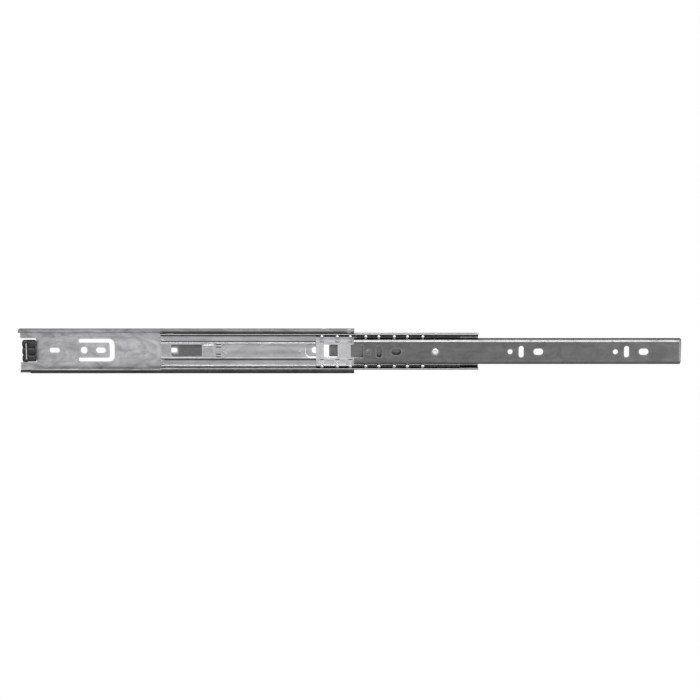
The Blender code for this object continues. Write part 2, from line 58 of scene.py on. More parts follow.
# Sheet thicknesses, and the small chamfer on every cut edge.
OUTER_SHEET = 1.2
MIDDLE_SHEET = 1.1
INNER_SHEET = 1.2
OUTER_CAGE_SHEET = 0.5
INNER_CAGE_SHEET = 0.6
EDGE_CHAMFER = 0.16
CUT_MARGIN = 0.8

# Upper half of each section on the middle of its sheet, as (depth, height).
OUTER_SECTION = ((0.6, 0.0), (0.6, 20.4), (2.8, 22.7), (9.0, 22.7), (11.9, 20.0))
MIDDLE_SECTION = (
    (3.3, 0.0), (3.3, 8.7), (2.9, 9.3), (2.9, 15.6), (4.0, 17.45),
    (6.7, 17.45), (7.6, 18.9), (9.4, 18.9), (11.0, 18.1), (12.1, 18.1),
)
INNER_SECTION = (
    (12.1, 0.0), (12.1, 10.2), (11.2, 12.1), (10.3, 12.55), (8.1, 12.55), (7.1, 13.1), (6.2, 13.1)
)
OUTER_CAGE_SECTION = ((1.75, 0.0), (1.75, 20.06), (6.4, 20.06))
INNER_CAGE_SECTION = ((5.1, 0.0), (5.1, 15.6), (10.4, 15.6))
BEND_RADIUS = 0.9
BEND_STEPS = 7

# Spans of the rails that have openings or pressed marks and so get close points.
OUTER_FINE = (
    (0.0, 22.0), (28.0, 44.0), (58.0, 102.0), (156.0, 166.0), (303.0, 326.0), (338.0, 350.0)
)
MIDDLE_FINE = ((147.0, 166.0), (188.0, 219.0), (290.0, 346.0))

# Where shade is painted behind the bridges and under the cage: (start, end, half height, corner,
# ramp).
BRIDGE_SHADE = (203.5, 212.5, 2.7, 0.5, 0.6)
CAGE_SHADE = (312.0, 352.0, 15.0, 1.0, 2.0)

# Openings in the outer rail, as (place, width, height) or (start, end, height).
CABINET_SLOTS = ((35.8, 10.8, 5.2), (84.3, 10.4, 5.9), (160.0, 9.2, 4.9))
CABINET_HOLES = ((66.7, 7.2), (308.7, 6.9))
FRONT_SLOT = (316.6, 323.6, 14.0)
TONGUE_CUT = (60.9, 98.8, 24.1)
TONGUE_CUT_ARM = 4.2
TONGUE_CUT_LEG = 5.4
TONGUE_CUT_CORNER = 6.1
REAR_NOTCH = (16.8, 25.4)
LIP_RELIEF = (11.8, 4.2)
FRONT_CRIMP = 344.8
GRIPPED_PLACE = 318.0

# The bent tab, and the bumper: slit as (start, end, half height), lobes down each edge.
TAB_MIDDLE = 8.2
TAB_SHEET = 1.2
TAB_HALF_HEIGHT = 8.4
TAB_DEPTH = 10.6
BUMPER_LOBES = 3
BUMPER_LOBE_DEPTH = 1.0
BUMPER_SLIT = (7.0, 10.0, 8.6)
BUMPER_STEP = 5.3
BUMPER_NOSE = (8.9, 10.2)

# Openings and pressed marks in the middle rail.
REAR_WINDOW = (158.5, 190.6)
FRONT_WINDOW = (317.0, 333.6)
WINDOW_HEIGHT = 12.6
WINDOW_CHAMFER = 2.6
MIDDLE_HOLE = (308.7, 7.2)
BRIDGE_SLITS = (205.1, 210.8)
BRIDGE_SLIT_HEIGHTS = (6.6, 3.7, -3.7, -6.6)
BRIDGE_SLIT_WIDTH = 1.3
BRIDGE_HEIGHT = 5.15
GROOVE_HEIGHT = 9.3
GROOVE_RIDGES = ((7.8, 0.26), (10.4, 0.14))
RACEWAY = (149.9, 9.75, 15.3)
LIP_FLARE = 158.0
STOP_PAD = (191.6, 203.2, 6.0)
HOLE_RECESS = (299.0, 341.0, 6.9)

# Openings in the two ball cages.
INNER_CAGE_WINDOWS = ((318.3, 332.7), (346.3, 359.6), (372.0, 400.0), (412.0, 440.0))
INNER_CAGE_WINDOW_HEIGHT = 13.4
INNER_CAGE_SLIT = (4.6, 0.8)
INNER_CAGE_SLIT_HEIGHT = 9.3
OUTER_CAGE_WINDOWS = ((154.0, 165.6, 7.2), (303.5, 313.9, 10.0), (316.2, 323.9, 15.0))
POCKET_CLEARANCE = 0.12
POCKET_SIDES = 36

# Openings in the inner rail.
DRAWER_HOLE_GROUPS = (364.3, 512.3, 622.0)
DRAWER_ROUND_HOLE = 5.2
DRAWER_UPRIGHT_SLOT = (11.6, 5.2, 12.0)
DRAWER_LONG_SLOT = (29.4, 10.1, 6.6)
INNER_NOTCH = (359.5, 13.9)
RIVET_DIMPLE = (3.7, 0.55)
RIVET_HOLE = 2.05

# The release lever and its rivet.
LEVER_HOLE = 2.1
LEVER_HUB = 5.4
LEVER_ARM = 3.2
LEVER_TOOTH = (6.0, 7.4, 1.0)
LEVER_THUMB = (12.0, 4.0, 6.6)
LEVER_RIBS = 4
LEVER_RIB_STEP = 2.4
RIVET_HEAD_RADIUS = 3.3
RIVET_TAIL_RADIUS = 2.9
RIVET_SHANK = 1.8

# The camera: aimed at AIM_PLACE from AIM_DISTANCE away and a little above.
AIM_PLACE = 345.6
AIM_ACROSS = (AIM_PLACE + REAR_END) * MM
AIM_HEIGHT = 0.1
AIM_DISTANCE = 1612.0
AIM_ELEVATION = math.radians(8.0)
LENS = 79.0

# The studio: greys from straight down (0) to straight up (1), and the floor.
STUDIO_GREYS = (
    (0.0, 0.12), (0.1, 0.62), (0.3, 0.40), (0.44, 0.56), (0.55, 0.66), (0.75, 0.85), (0.97, 0.62)
)
BEHIND_DIMMING = 0.78
WHITE = (1.0, 1.0, 1.0, 1.0)
FLOOR_DROP = 0.25
FLOOR_SIZE = 12.0


# Curves and sections


def ease(share):
    """3t^2 - 2t^3 on t clipped to 0..1, a step with soft ends."""
    share = np.clip(share, 0.0, 1.0)
    return share * share * (3.0 - 2.0 * share)


def bell(offset, width):
    """exp(-(offset / width)^2)."""
    return np.exp(-((offset / width) ** 2))


def arc_corner(before, corner, after, radius, steps):
    """The arc that is tangent to both sides of a corner: centre + sin((1-t)a)/sin(a) first +
    sin(ta)/sin(a) last, with a the angle turned and t from 0 to 1. Radius 0 keeps the corner."""
    before, corner, after = (np.asarray(point, float) for point in (before, corner, after))
    back = before - corner
    on = after - corner
    back_length = np.linalg.norm(back)
    on_length = np.linalg.norm(on)
    back = back / back_length
    on = on / on_length
    half_angle = math.acos(np.clip(back @ on, -1.0, 1.0)) / 2
    if radius == 0.0 or half_angle > 1.565:
        return corner[None, :]
    reach = min(radius / math.tan(half_angle), 0.45 * min(back_length, on_length))
    radius = reach * math.tan(half_angle)
    centre = corner + (back + on) / np.linalg.norm(back + on) * (radius / math.sin(half_angle))
    first = corner + back * reach - centre
    last = corner + on * reach - centre
    turned = math.pi - 2 * half_angle
    share = np.linspace(0.0, 1.0, steps + 1)[:, None]
    near = np.sin((1 - share) * turned) / math.sin(turned)
    far = np.sin(share * turned) / math.sin(turned)
    return centre + near * first + far * last


def rounded_line(corners, radius, steps):
    """An open line whose inner corners are arcs."""
    middle = [arc_corner(*three, radius, steps) for three in zip(corners, corners[1:], corners[2:])]
    return np.concatenate([np.array([corners[0]]), *middle, np.array([corners[-1]])])


def rounded_outline(corners, radii, steps):
    """A closed outline whose corner k is an arc of radii[k]."""
    before = corners[-1:] + corners[:-1]
    after = corners[1:] + corners[:1]
    rows = zip(before, corners, after, radii)
    return np.concatenate([arc_corner(b, c, a, r, steps) for b, c, a, r in rows])


def fill_in(points, spacing):
    """A line with points added along its straight stretches, none further apart than spacing."""
    gaps = np.linalg.norm(np.diff(points, axis=0), axis=1)
    length = np.concatenate([[0.0], np.cumsum(gaps)])
    counts = np.maximum(np.ceil(gaps / spacing).astype(int), 1)
    rows = zip(length, length[1:], counts)
    stretches = [np.linspace(a, b, n, endpoint=False) for a, b, n in rows]
    along = np.concatenate(stretches + [length[-1:]])
    return np.stack([np.interp(along, length, points[:, axis]) for axis in (0, 1)], axis=1)


def mirrored_section(half_section, spacing):
    """The whole section, lower lip to upper lip, rounded at its bends and filled in."""
    upper = rounded_line(half_section, BEND_RADIUS, BEND_STEPS)
    lower = upper[:0:-1] * (1.0, -1.0)
    line = np.concatenate([lower, upper[1:]])
    ends = line[[0, -1]]
    inward = line[[1, -2]] - ends
    inset = ends + inward / np.linalg.norm(inward, axis=1)[:, None] * EDGE_CHAMFER
    line = np.concatenate([ends[:1], inset[:1], line[1:-1], inset[1:], ends[1:]])
    return fill_in(line, spacing)


def turned_right(along):
    """Unit vectors a quarter turn clockwise from these."""
    along = along / np.linalg.norm(along, axis=1)[:, None]
    return np.stack([along[:, 1], -along[:, 0]], axis=1)


def normals_of(line):
    """Unit normals of an open line in (depth, height): its tangent turned to the drawer side."""
    return turned_right(np.gradient(line, axis=0))


def stations(span, coarse, fine, close_spans):
    """Places along a rail: every coarse mm, every fine mm within close_spans, and one chamfer in
    from both ends."""
    start, end = span
    parts = [np.linspace(start, end, int((end - start) / coarse) + 2)]
    parts += [np.arange(max(low, start), min(high, end), fine) for low, high in close_spans]
    parts.append(np.array([start + EDGE_CHAMFER, end - EDGE_CHAMFER]))
    places = np.unique(np.round(np.concatenate(parts), 3))
    keep = np.concatenate([[True], np.diff(places) > 0.12])
    keep[-1] = True
    return places[keep]


# Meshes


def new_object(name, data):
    made = bpy.data.objects.new(name, data)
    bpy.context.scene.collection.objects.link(made)
    return made


def new_mesh(name, points, faces):
    """A mesh object at the origin; points are (place, depth, height) in mm."""
    points = np.asarray(points, float).reshape(-1, 3)
    world = np.stack([points[:, 0] + REAR_END, -points[:, 1], points[:, 2]], axis=1) * MM
    mesh = bpy.data.meshes.new(name)
    mesh.from_pydata(world.tolist(), [], faces)
    mesh.validate()
    return new_object(name, mesh)


def in_mm(piece):
    """The place, depth and height of each of a piece's points, in mm."""
    flat = np.empty(len(piece.data.vertices) * 3, np.float32)
    piece.data.vertices.foreach_get("co", flat)
    x, y, z = flat.reshape(-1, 3).astype(float).T / MM
    return x - REAR_END, -y, z


def ends_of(node):
    """The places of a node's rear and front ends."""
    low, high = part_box(node)
    return low.x / MM - REAR_END, high.x / MM - REAR_END


def faces_of(node):
    """The depths of a node's faces towards the wall and towards the drawer."""
    low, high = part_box(node)
    return -high.y / MM, -low.y / MM


def grid_faces(rows, columns, first=0, closed=False):
    """Quads of a grid of points numbered row by row; closed joins the last column to the first."""
    row = np.arange(rows - 1)[:, None]
    column = np.arange(columns if closed else columns - 1)[None, :]
    beside = (column + 1) % columns
    corners = (
        row * columns + column,
        (row + 1) * columns + column,
        (row + 1) * columns + beside,
        row * columns + beside,
    )
    return (np.stack(np.broadcast_arrays(*corners), axis=-1).reshape(-1, 4) + first).tolist()


def pressed_sheet(name, places, section, sheet, relief):
    """A closed sheet. Point (i, j) of its middle is section[j] at places[i], moved along the
    section's normal by relief; the two faces lie half a sheet to each side, and that half is one
    chamfer less on the borders, which four strips of quads close."""
    normal = normals_of(section)
    place, depth = np.meshgrid(places, section[:, 0], indexing="ij")
    height = np.broadcast_to(section[:, 1], place.shape)
    rise = relief(place, depth, height) if relief else 0.0
    half = np.full(place.shape, sheet / 2)
    half[[0, -1], :] -= EDGE_CHAMFER
    half[:, [0, -1]] = sheet / 2 - EDGE_CHAMFER
    faces = []
    for off in (rise + half, rise - half):
        moved = (place, depth + off * normal[:, 0], height + off * normal[:, 1])
        faces.append(np.stack(moved, axis=-1).reshape(-1, 3))
    rows, columns = place.shape
    count = rows * columns
    number = np.arange(count).reshape(rows, columns)
    quads = grid_faces(rows, columns)
    quads += [face[::-1] for face in grid_faces(rows, columns, count)]
    for rim in (number[::-1, 0], number[0, :], number[:, -1], number[-1, ::-1]):
        strip = (rim[:-1], rim[1:], rim[1:] + count, rim[:-1] + count)
        quads += np.stack(strip, axis=1).tolist()
    return new_mesh(name, np.concatenate(faces), quads)


def sheet_for(node, shape, steps, close=None, relief=None):
    """The sheet of a rail or cage as long as its node, the places of its two ends and the depths of
    its web's two faces. Shape is a half section, a thickness and the spacing of the section's
    points; steps are the coarse and fine distances along the sheet, fine within close spans."""
    half_section, sheet, spacing = shape
    span = ends_of(node)
    places = stations(span, *steps, close or (span,))
    section = mirrored_section(half_section, spacing)
    name = node.replace("ball_", "") + "_pressing"
    web = half_section[0][0]
    made = pressed_sheet(name, places, section, sheet, relief)
    return made, span, (web - sheet / 2, web + sheet / 2)


def outward(outline):
    """Unit normals of a closed outline in (place, height), drawn anticlockwise from the drawer."""
    return turned_right(np.roll(outline, -1, axis=0) - np.roll(outline, 1, axis=0))


def tube(rings, clockwise=False):
    """Points and faces of a closed tube through rings of (place, depth, height), with flat ends.
    The rings run anticlockwise as seen from the last one's side, unless clockwise is set."""
    rings = np.asarray(rings)
    rows, sides = rings.shape[:2]
    last = (rows - 1) * sides
    faces = grid_faces(rows, sides, closed=True)
    faces += [list(range(sides)), list(range(last, last + sides))[::-1]]
    if not clockwise:
        faces = [face[::-1] for face in faces]
    return rings.reshape(-1, 3), faces


def column(outline, levels):
    """A tube through the depth of the slide: the outline repeated at each level's depth and moved
    out along its normals by the level's growth. Levels are (depth, growth), rising."""
    depths, growths = np.array(levels, float).T
    flat = outline[None, :, :] + outward(outline)[None, :, :] * growths[:, None, None]
    rise = np.broadcast_to(depths[:, None], flat.shape[:2])
    return tube(np.stack([flat[:, :, 0], rise, flat[:, :, 1]], axis=-1))


def upright(ring, heights, clockwise=False):
    """A tube that carries a ring of (place, depth) through these heights."""
    return tube([np.insert(ring, 2, height, axis=1) for height in heights], clockwise)


def punch(outline, low, high, rim=EDGE_CHAMFER):
    """A cutter through a sheet between two depths, wider by the chamfer at both of its faces."""
    if not rim:
        return column(outline, ((low - CUT_MARGIN, 0.0), (high + CUT_MARGIN, 0.0)))
    below = ((low - CUT_MARGIN, rim), (low - 0.02, rim), (low + rim, 0.0))
    above = ((high - rim, 0.0), (high + 0.02, rim), (high + CUT_MARGIN, rim))
    return column(outline, below + above)


def combine(piece, operation, points, faces):
    """Cuts closed shapes out of a piece, or joins them on, and keeps the result as its mesh."""
    tool = new_mesh(piece.name + "_tool", points, faces)
    boolean = piece.modifiers.new("shape", "BOOLEAN")
    boolean.operation = operation
    boolean.solver = "EXACT"
    boolean.object = tool
    bpy.context.view_layer.update()
    evaluated = piece.evaluated_get(bpy.context.evaluated_depsgraph_get())
    result = bpy.data.meshes.new_from_object(evaluated)
    piece.modifiers.clear()
    piece.data = result
    result.name = piece.name
    bpy.data.objects.remove(tool)


def cut(piece, cutters):
    """Cuts a piece with separate closed shapes at once."""
    faces = []
    count = 0
    for shape_points, shape_faces in cutters:
        faces += [[corner + count for corner in face] for face in shape_faces]
        count += len(shape_points)
    combine(piece, "DIFFERENCE", np.concatenate([points for points, _ in cutters]), faces)


def distance_to(points, outline):
    """Each point's distance to a closed outline: the least over its sides of |p - (a + t(b - a))|,
    with t the clipped foot of the point on that side."""
    start = outline
    side = np.roll(outline, -1, axis=0) - outline
    length = np.maximum((side**2).sum(axis=1), 1e-12)
    gap = points[:, None, :] - start[None, :, :]
    foot = np.clip((gap * side).sum(axis=2) / length, 0.0, 1.0)
    return np.linalg.norm(gap - foot[:, :, None] * side, axis=2).min(axis=1)


def mark_rims(piece, outlines, span, reach=0.8):
    """Writes the point attribute rim, exp(-(d / reach)^2), with d the distance to the nearest
    opening's outline or to an end of the piece."""
    place, _, height = in_mm(piece)
    flat = np.stack([place, height], axis=1)
    nearest = np.minimum(np.abs(place - span[0]), np.abs(place - span[1]))
    for outline in outlines:
        low = outline.min(axis=0) - 4 * reach
        high = outline.max(axis=0) + 4 * reach
        close = ((flat > low) & (flat < high)).all(axis=1)
        if close.any():
            nearest[close] = np.minimum(nearest[close], distance_to(flat[close], outline))
    write_values(piece, "rim", bell(nearest, reach))


def paint_highlight(piece, values):
    """Raises the point attribute rim to at least these values: painted highlights, shown in the
    worn tone.
    """
    data = piece.data.attributes["rim"].data
    rim = np.empty(len(data), np.float32)
    data.foreach_get("value", rim)
    data.foreach_set("value", np.maximum(rim, values).astype(np.float32))


def paint_shade(piece, *masks):
    """Writes the point attribute of painted shade, the largest of these masks: colour darkened
    where shade falls.
    """
    write_values(piece, "painted_shade", np.maximum.reduce(masks))


def write_values(piece, name, values):
    attribute = piece.data.attributes.new(name, "FLOAT", "POINT")
    attribute.data.foreach_set("value", values.astype(np.float32))


# Outlines of openings


def circle(place, radius, height=0.0, sides=40):
    angle = np.linspace(0.0, 2 * math.pi, sides, endpoint=False)
    return np.stack([place + radius * np.cos(angle), height + radius * np.sin(angle)], axis=1)


def slot(place, width, height, steps=14):
    """A slot with round ends: a circle of the smaller size with its halves moved apart."""
    ring = circle(0.0, min(width, height) / 2, sides=4 * steps)
    side = (width - height) / 2
    if side > 0:
        ring[:, 0] += side * np.where(ring[:, 0] > 0, 1.0, -1.0)
    else:
        ring[:, 1] -= side * np.where(ring[:, 1] > 0, 1.0, -1.0)
    return ring + (place, 0.0)


def window(start, end, height, radii=(0.6, 0.6, 0.6, 0.6), middle=0.0):
    """A rectangle with rounded corners, anticlockwise from its lower rear corner."""
    half = height / 2
    corners = [(start, -half), (end, -half), (end, half), (start, half)]
    corners = [(place, middle + up) for place, up in corners]
    return rounded_outline(corners, radii, 5)


def tongue_outline():
    """The U that frees a tongue of the outer rail's web, open towards the rear."""
    start, end, height = TONGUE_CUT
    half = height / 2
    inside = half - TONGUE_CUT_ARM
    leg = end - TONGUE_CUT_LEG
    arm_end = TONGUE_CUT_ARM * 0.49
    inner_corner = TONGUE_CUT_CORNER - TONGUE_CUT_ARM
    corners = [
        (start, half), (start, inside), (leg, inside), (leg, -inside),
        (start, -inside), (start, -half), (end, -half), (end, half),
    ]
    radii = [arm_end, arm_end, inner_corner, inner_corner, arm_end, arm_end]
    return rounded_outline(corners, radii + [TONGUE_CUT_CORNER] * 2, 8)


def inside_box(place, height, start, end, half, corner, ramp):
    """1 inside a rounded rectangle and 0 outside, easing over ramp: its signed distance is
    |max(q, 0)| + min(max(q), 0) - corner, with q the distance past each side plus the corner."""
    across = np.abs(place - (start + end) / 2) - (end - start) / 2 + corner
    up = np.abs(height) - half + corner
    outside = np.hypot(np.maximum(across, 0.0), np.maximum(up, 0.0))
    signed = outside + np.minimum(np.maximum(across, up), 0.0) - corner
    return ease(0.5 - signed / ramp)


# The outer rail


def outer_relief(place, depth, height):
    """A shallow nick where the top flange was gripped, the crimps that hold the cage at the front
    end of both lips, and the web's slight oil canning away from the wall: bells and long waves."""
    on_flange = ease((np.abs(height) - 21.0) / 1.0) * ease((10.0 - depth) / 2.0)
    nick = 0.35 * bell(place - GRIPPED_PLACE, 2.2) * on_flange * (height > 0)
    on_web = ease((19.0 - np.abs(height)) / 3.0) * (depth < 2.0)
    waves = np.sin(place / 17.0 + 0.5) * np.cos(height / 6.0) + np.sin(place / 9.0 + height / 5.0)
    on_lip = ease((np.abs(height) - 19.5) / 0.8) * ease((depth - 8.6) / 0.8)
    crimp = 0.5 * bell(place - FRONT_CRIMP, 3.0) * on_lip
    return nick + crimp + 0.05 * on_web * (waves + 2.0)


def build_outer_rail():
    shape = (OUTER_SECTION, OUTER_SHEET, 1.5)
    rail, span, web = sheet_for("outer_rail", shape, (4.0, 0.8), OUTER_FINE, outer_relief)
    outlines = [slot(*size) for size in CABINET_SLOTS]
    outlines += [circle(place, diameter / 2) for place, diameter in CABINET_HOLES]
    outlines += [window(*FRONT_SLOT), tongue_outline()]
    outlines.append(window(-2.0, *REAR_NOTCH, (0.0, 1.2, 1.2, 0.0)))
    cutters = [punch(outline, *web) for outline in outlines]
    relief = window(-2.0, LIP_RELIEF[0], 8.0, (0.0, 0.0, 1.0, 0.0), middle=-20.0)
    cutters.append(column(relief, ((LIP_RELIEF[1], 0.0), (14.0, 0.0))))
    cut(rail, cutters)
    add_bumper_tab(rail)
    mark_rims(rail, outlines, span)
    place, depth, height = in_mm(rail)
    up = np.abs(height)
    # Painted shade: colour darkened inside the channel behind the lips, behind the bridge slits, on
    # the lip tips (the upper one past the middle rail's entry) and on the lower lip's front.
    behind_lip = ease((31.5 - depth - up) / 0.3)
    in_channel = ease((22.5 - up) / 0.3) * ease((up - 19.6) / 0.5) * ease((depth - 1.6) / 0.6)
    bridge_shade = inside_box(place, up - BRIDGE_HEIGHT, *BRIDGE_SHADE) * (depth > 0.6)
    past_entry = ease((place - 147.0) / 3.0)
    shade_on_lip_tips = 0.8 * ease((depth - 11.2) / 0.3) * np.where(height > 0, past_entry, 1.0)
    shade_on_low_lip = 0.5 * ease((depth - 8.8) / 0.8) * (height < -19.0)
    paint_shade(rail, in_channel * behind_lip, bridge_shade, shade_on_lip_tips, shade_on_low_lip)
    # Painted highlights, raised into the rim value: the bumper tab's front edge and the front
    # crimps on both lips.
    paint_highlight(rail, ease((depth - 9.8) / 0.6) * (place < 10.0) * (up < TAB_HALF_HEIGHT + 0.1))
    paint_highlight(rail, 0.8 * bell(place - FRONT_CRIMP, 3.0) * (depth > 9.4) * (up > 19.0))
    return rail


def add_bumper_tab(rail):
    """Joins the strip of web that is bent up to hold the bumper: an L-shaped sheet."""
    foot = OUTER_SHEET / 2
    corners = ((REAR_NOTCH[0] + 0.5, foot), (TAB_MIDDLE, foot), (TAB_MIDDLE, TAB_DEPTH))
    line = fill_in(rounded_line(corners, BEND_RADIUS, BEND_STEPS), 1.0)
    side = -normals_of(line) * TAB_SHEET / 2
    loop = np.concatenate([line + side, (line - side)[::-1]])
    combine(rail, "UNION", *upright(loop, (-TAB_HALF_HEIGHT, TAB_HALF_HEIGHT), clockwise=True))


# The middle rail


def middle_relief(place, depth, height):
    """The pressed marks of the middle rail, each a bell or an eased box times its height in mm:
    ridges beside the grooves, the raceways' rounded ends, the lips' flare, the embossed stop pad,
    two lanced bridges with their crescents, a centre punch and the recess round the hole."""
    up = np.abs(height)
    on_web = (depth < 4.0) * 1.0
    rise = sum(tall * bell(up - ridge, 0.45) for ridge, tall in GROOVE_RIDGES) * on_web
    start, low, high = RACEWAY
    middle = (low + high) / 2
    track = inside_box(place, up - middle, start, 900.0, (high - low) / 2, 2.4, 0.9)
    near_track = ease((up - 9.3) / 0.6) * ease((15.8 - up) / 0.6) * on_web
    rise += 0.45 * (1.0 - track) * near_track
    on_lip = ease((up - 17.8) / 0.8) * ease((depth - 7.0) / 1.5)
    rise -= 0.4 * bell(place - LIP_FLARE, 5.0) * on_lip
    first, last, half = STOP_PAD
    pad = inside_box(place, height, first, last, half, 0.8, 0.9) * on_web
    rise += pad * (0.4 + 0.13 * np.sin(place * 3.1) * np.cos(height * 2.7 + place))
    slit_start, slit_end = BRIDGE_SLITS
    across = np.clip((place - slit_start) / (slit_end - slit_start), 0.0, 1.0)
    between = ease((up - 3.4) / 0.6) * ease((6.9 - up) / 0.6) * on_web
    rise += 0.75 * np.sin(math.pi * across) * between
    behind = np.hypot(place - 212.4, up - 4.6)
    rise += 0.3 * bell(behind - 3.0, 0.5) * (place > 212.6) * on_web
    rise += 0.4 * bell(np.hypot(place - 212.6, up - 6.3), 0.7) * on_web
    rise += 0.4 * bell(np.hypot(place - 293.0, height + 1.5), 1.0) * on_web
    first, last, half = HOLE_RECESS
    rise -= 0.45 * inside_box(place, height, first, last, half, 5.0, 1.0) * on_web
    return rise


def build_middle_rail():
    shape = (MIDDLE_SECTION, MIDDLE_SHEET, 0.5)
    rail, span, web = sheet_for("middle_rail", shape, (6.0, 0.6), MIDDLE_FINE, middle_relief)
    outlines = [
        window(*REAR_WINDOW, WINDOW_HEIGHT, (WINDOW_CHAMFER, 0.6, 0.6, 0.6)),
        window(*FRONT_WINDOW, WINDOW_HEIGHT),
        circle(MIDDLE_HOLE[0], MIDDLE_HOLE[1] / 2),
    ]
    for height in BRIDGE_SLIT_HEIGHTS:
        outlines.append(window(*BRIDGE_SLITS, BRIDGE_SLIT_WIDTH, [0.3] * 4, middle=height))
    cut(rail, [punch(outline, web[0] - 0.3, web[1] + 0.6, rim=0.0) for outline in outlines])
    mark_rims(rail, outlines, span)
    place, depth, height = in_mm(rail)
    up = np.abs(height)
    # Painted shade: colour darkened in the grooves, under the cage, on the web beyond place 343
    # under the inner rail, and in the raceway bends where they would catch light.
    shade_in_groove = bell(up - GROOVE_HEIGHT, 0.85) * (depth < 4.4)
    near_cage = inside_box(place, up, *CAGE_SHADE)
    shade_under_cage = bell(up - GROOVE_HEIGHT, 1.2) * near_cage
    film = 0.6 * ease((place - 343.0) / 3.0) * ease((10.5 - up) / 2.0) * (depth > 3.3)
    upper = 0.9 * ease((up - 14.2) / 1.8)
    lower = 0.35 * ease((up - 13.8) / 0.8) + 0.55 * ease((up - 15.2) / 1.2)
    shade_in_raceways = np.where(height > 0, upper, lower) * ease((18.6 - up) / 0.6) * (depth < 11.4)
    paint_shade(rail, shade_in_groove, shade_under_cage, film, shade_in_raceways)
    # Painted highlight on the lips' front edges, raised into the rim value.
    paint_highlight(rail, ease((depth - 11.7) / 0.3) * (up > 17.0))
    return rail


# The inner rail


def inner_relief(place, depth, height):
    """The front end bent a little back towards the wall over its last 1.8 mm, and long shallow
    waves in the web, also towards the wall."""
    rise = -0.75 * np.clip((place - 688.6) / 1.8, 0.0, 1.0) * (depth > 11.0)
    on_web = ease((9.6 - np.abs(height)) / 2.0) * (depth > 11.5)
    waves = np.sin(place / 21.0) * np.cos(height / 4.0) + np.sin(place / 8.0 - height / 3.0)
    return rise + 0.03 * on_web * (waves - 2.0)


def build_inner_rail():
    close = [(group - 4.0, group + 36.0) for group in DRAWER_HOLE_GROUPS]
    close += [(349.0, 362.0), (428.0, 441.0), (686.0, 690.4)]
    shape = (INNER_SECTION, INNER_SHEET, 0.9)
    rail, span, web = sheet_for("inner_rail", shape, (5.0, 0.8), close, inner_relief)
    outlines = []
    for group in DRAWER_HOLE_GROUPS:
        outlines.append(circle(group, DRAWER_ROUND_HOLE / 2))
        for offset, width, height in (DRAWER_UPRIGHT_SLOT, DRAWER_LONG_SLOT):
            outlines.append(slot(group + offset, width, height))
    outlines.append(window(span[0] - 2.0, INNER_NOTCH[0], INNER_NOTCH[1], (0.0, 1.6, 1.6, 0.0)))
    cutters = [punch(outline, *web) for outline in outlines]
    cutters.append(punch(circle(RIVET_PLACE, RIVET_HOLE), *web, rim=0.05))
    cut(rail, cutters)
    radius, sunk = RIVET_DIMPLE
    front = web[1]
    below = ((front - sunk, 0.0), (front - 0.1, 0.0))
    levels = below + ((front + 0.02, 0.1), (front + CUT_MARGIN, 0.1))
    cut(rail, [column(circle(RIVET_PLACE, radius), levels)])
    outlines.append(circle(RIVET_PLACE, radius))
    mark_rims(rail, outlines, span)
    place, depth, height = in_mm(rail)
    # Painted highlight: a thin light line along the lower bend, raised into the rim value.
    highlight_span = ease((place - 430.0) / 20.0) * ease((660.0 - place) / 60.0) * (depth > 12.0)
    paint_highlight(rail, 0.3 * bell(height + 9.9, 0.4) * highlight_span)
    return rail


# The ball cages


def row_of_balls(prefix):
    """Places, depth, height and radius of the upper row of balls, from the frame."""
    boxes = [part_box(name) for name in sorted(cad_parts) if name.startswith(prefix + "_upper")]
    middles = np.array([[(low[axis] + high[axis]) / 2 for axis in range(3)] for low, high in boxes])
    radius = (boxes[0][1].z - boxes[0][0].z) / 2 / MM
    places = middles[:, 0] / MM - REAR_END
    return places, -middles[0, 1] / MM, middles[0, 2] / MM, radius


def inner_cage_relief(place, depth, height):
    """Shallow stiffening beads along the cage's web, at the slits' height, broken at the slits."""
    places = row_of_balls("inner_ball")[0]
    from_ball = np.abs(place[..., None] - places).min(axis=-1)
    bead = 0.22 * bell(np.abs(height) - INNER_CAGE_SLIT_HEIGHT, 0.9) * (depth < 6.0)
    swell = 0.12 * bell(from_ball, 3.0) * (np.abs(height) > 12.0)
    return bead * ease((from_ball - 2.6) / 1.2) + swell


def cut_pockets(cage, prefix):
    """Cuts an upright round hole through both flanges of a cage at each ball of its rows."""
    places, depth, height, radius = row_of_balls(prefix)
    reach = height + 1.0
    rings = [circle(place, radius + POCKET_CLEARANCE, sides=POCKET_SIDES) for place in places]
    cut(cage, [upright(ring * (1, -1) + (0, depth), (-reach, reach)) for ring in rings])
    return places


def build_inner_cage():
    shape = (INNER_CAGE_SECTION, INNER_CAGE_SHEET, 0.9)
    cage, span, web = sheet_for("inner_ball_cage", shape, (2.0, 1.0), None, inner_cage_relief)
    ball_places = cut_pockets(cage, "inner_ball")
    outlines = [window(*pair, INNER_CAGE_WINDOW_HEIGHT, [1.2] * 4) for pair in INNER_CAGE_WINDOWS]
    length, width = INNER_CAGE_SLIT
    for place in ball_places:
        for side in (INNER_CAGE_SLIT_HEIGHT, -INNER_CAGE_SLIT_HEIGHT):
            start = place - length / 2
            outlines.append(window(start, start + length, width, [0.35] * 4, middle=side))
    cut(cage, [punch(outline, web[0] - 0.1, web[1] + 0.4, rim=0.0) for outline in outlines])
    mark_rims(cage, outlines, span)
    place, depth, height = in_mm(cage)
    # Painted shade: colour darkened on the flanges, and on the upper flange past place 351 in the
    # gap above the inner rail.
    on_flange = ease((depth - 6.2) / 1.5) * (np.abs(height) > 14.5)
    shade_in_top_gap = ease((height - 12.8) / 0.6) * ease((place - 351.0) / 3.0)
    paint_shade(cage, 0.85 * on_flange, 0.85 * shade_in_top_gap)
    return cage


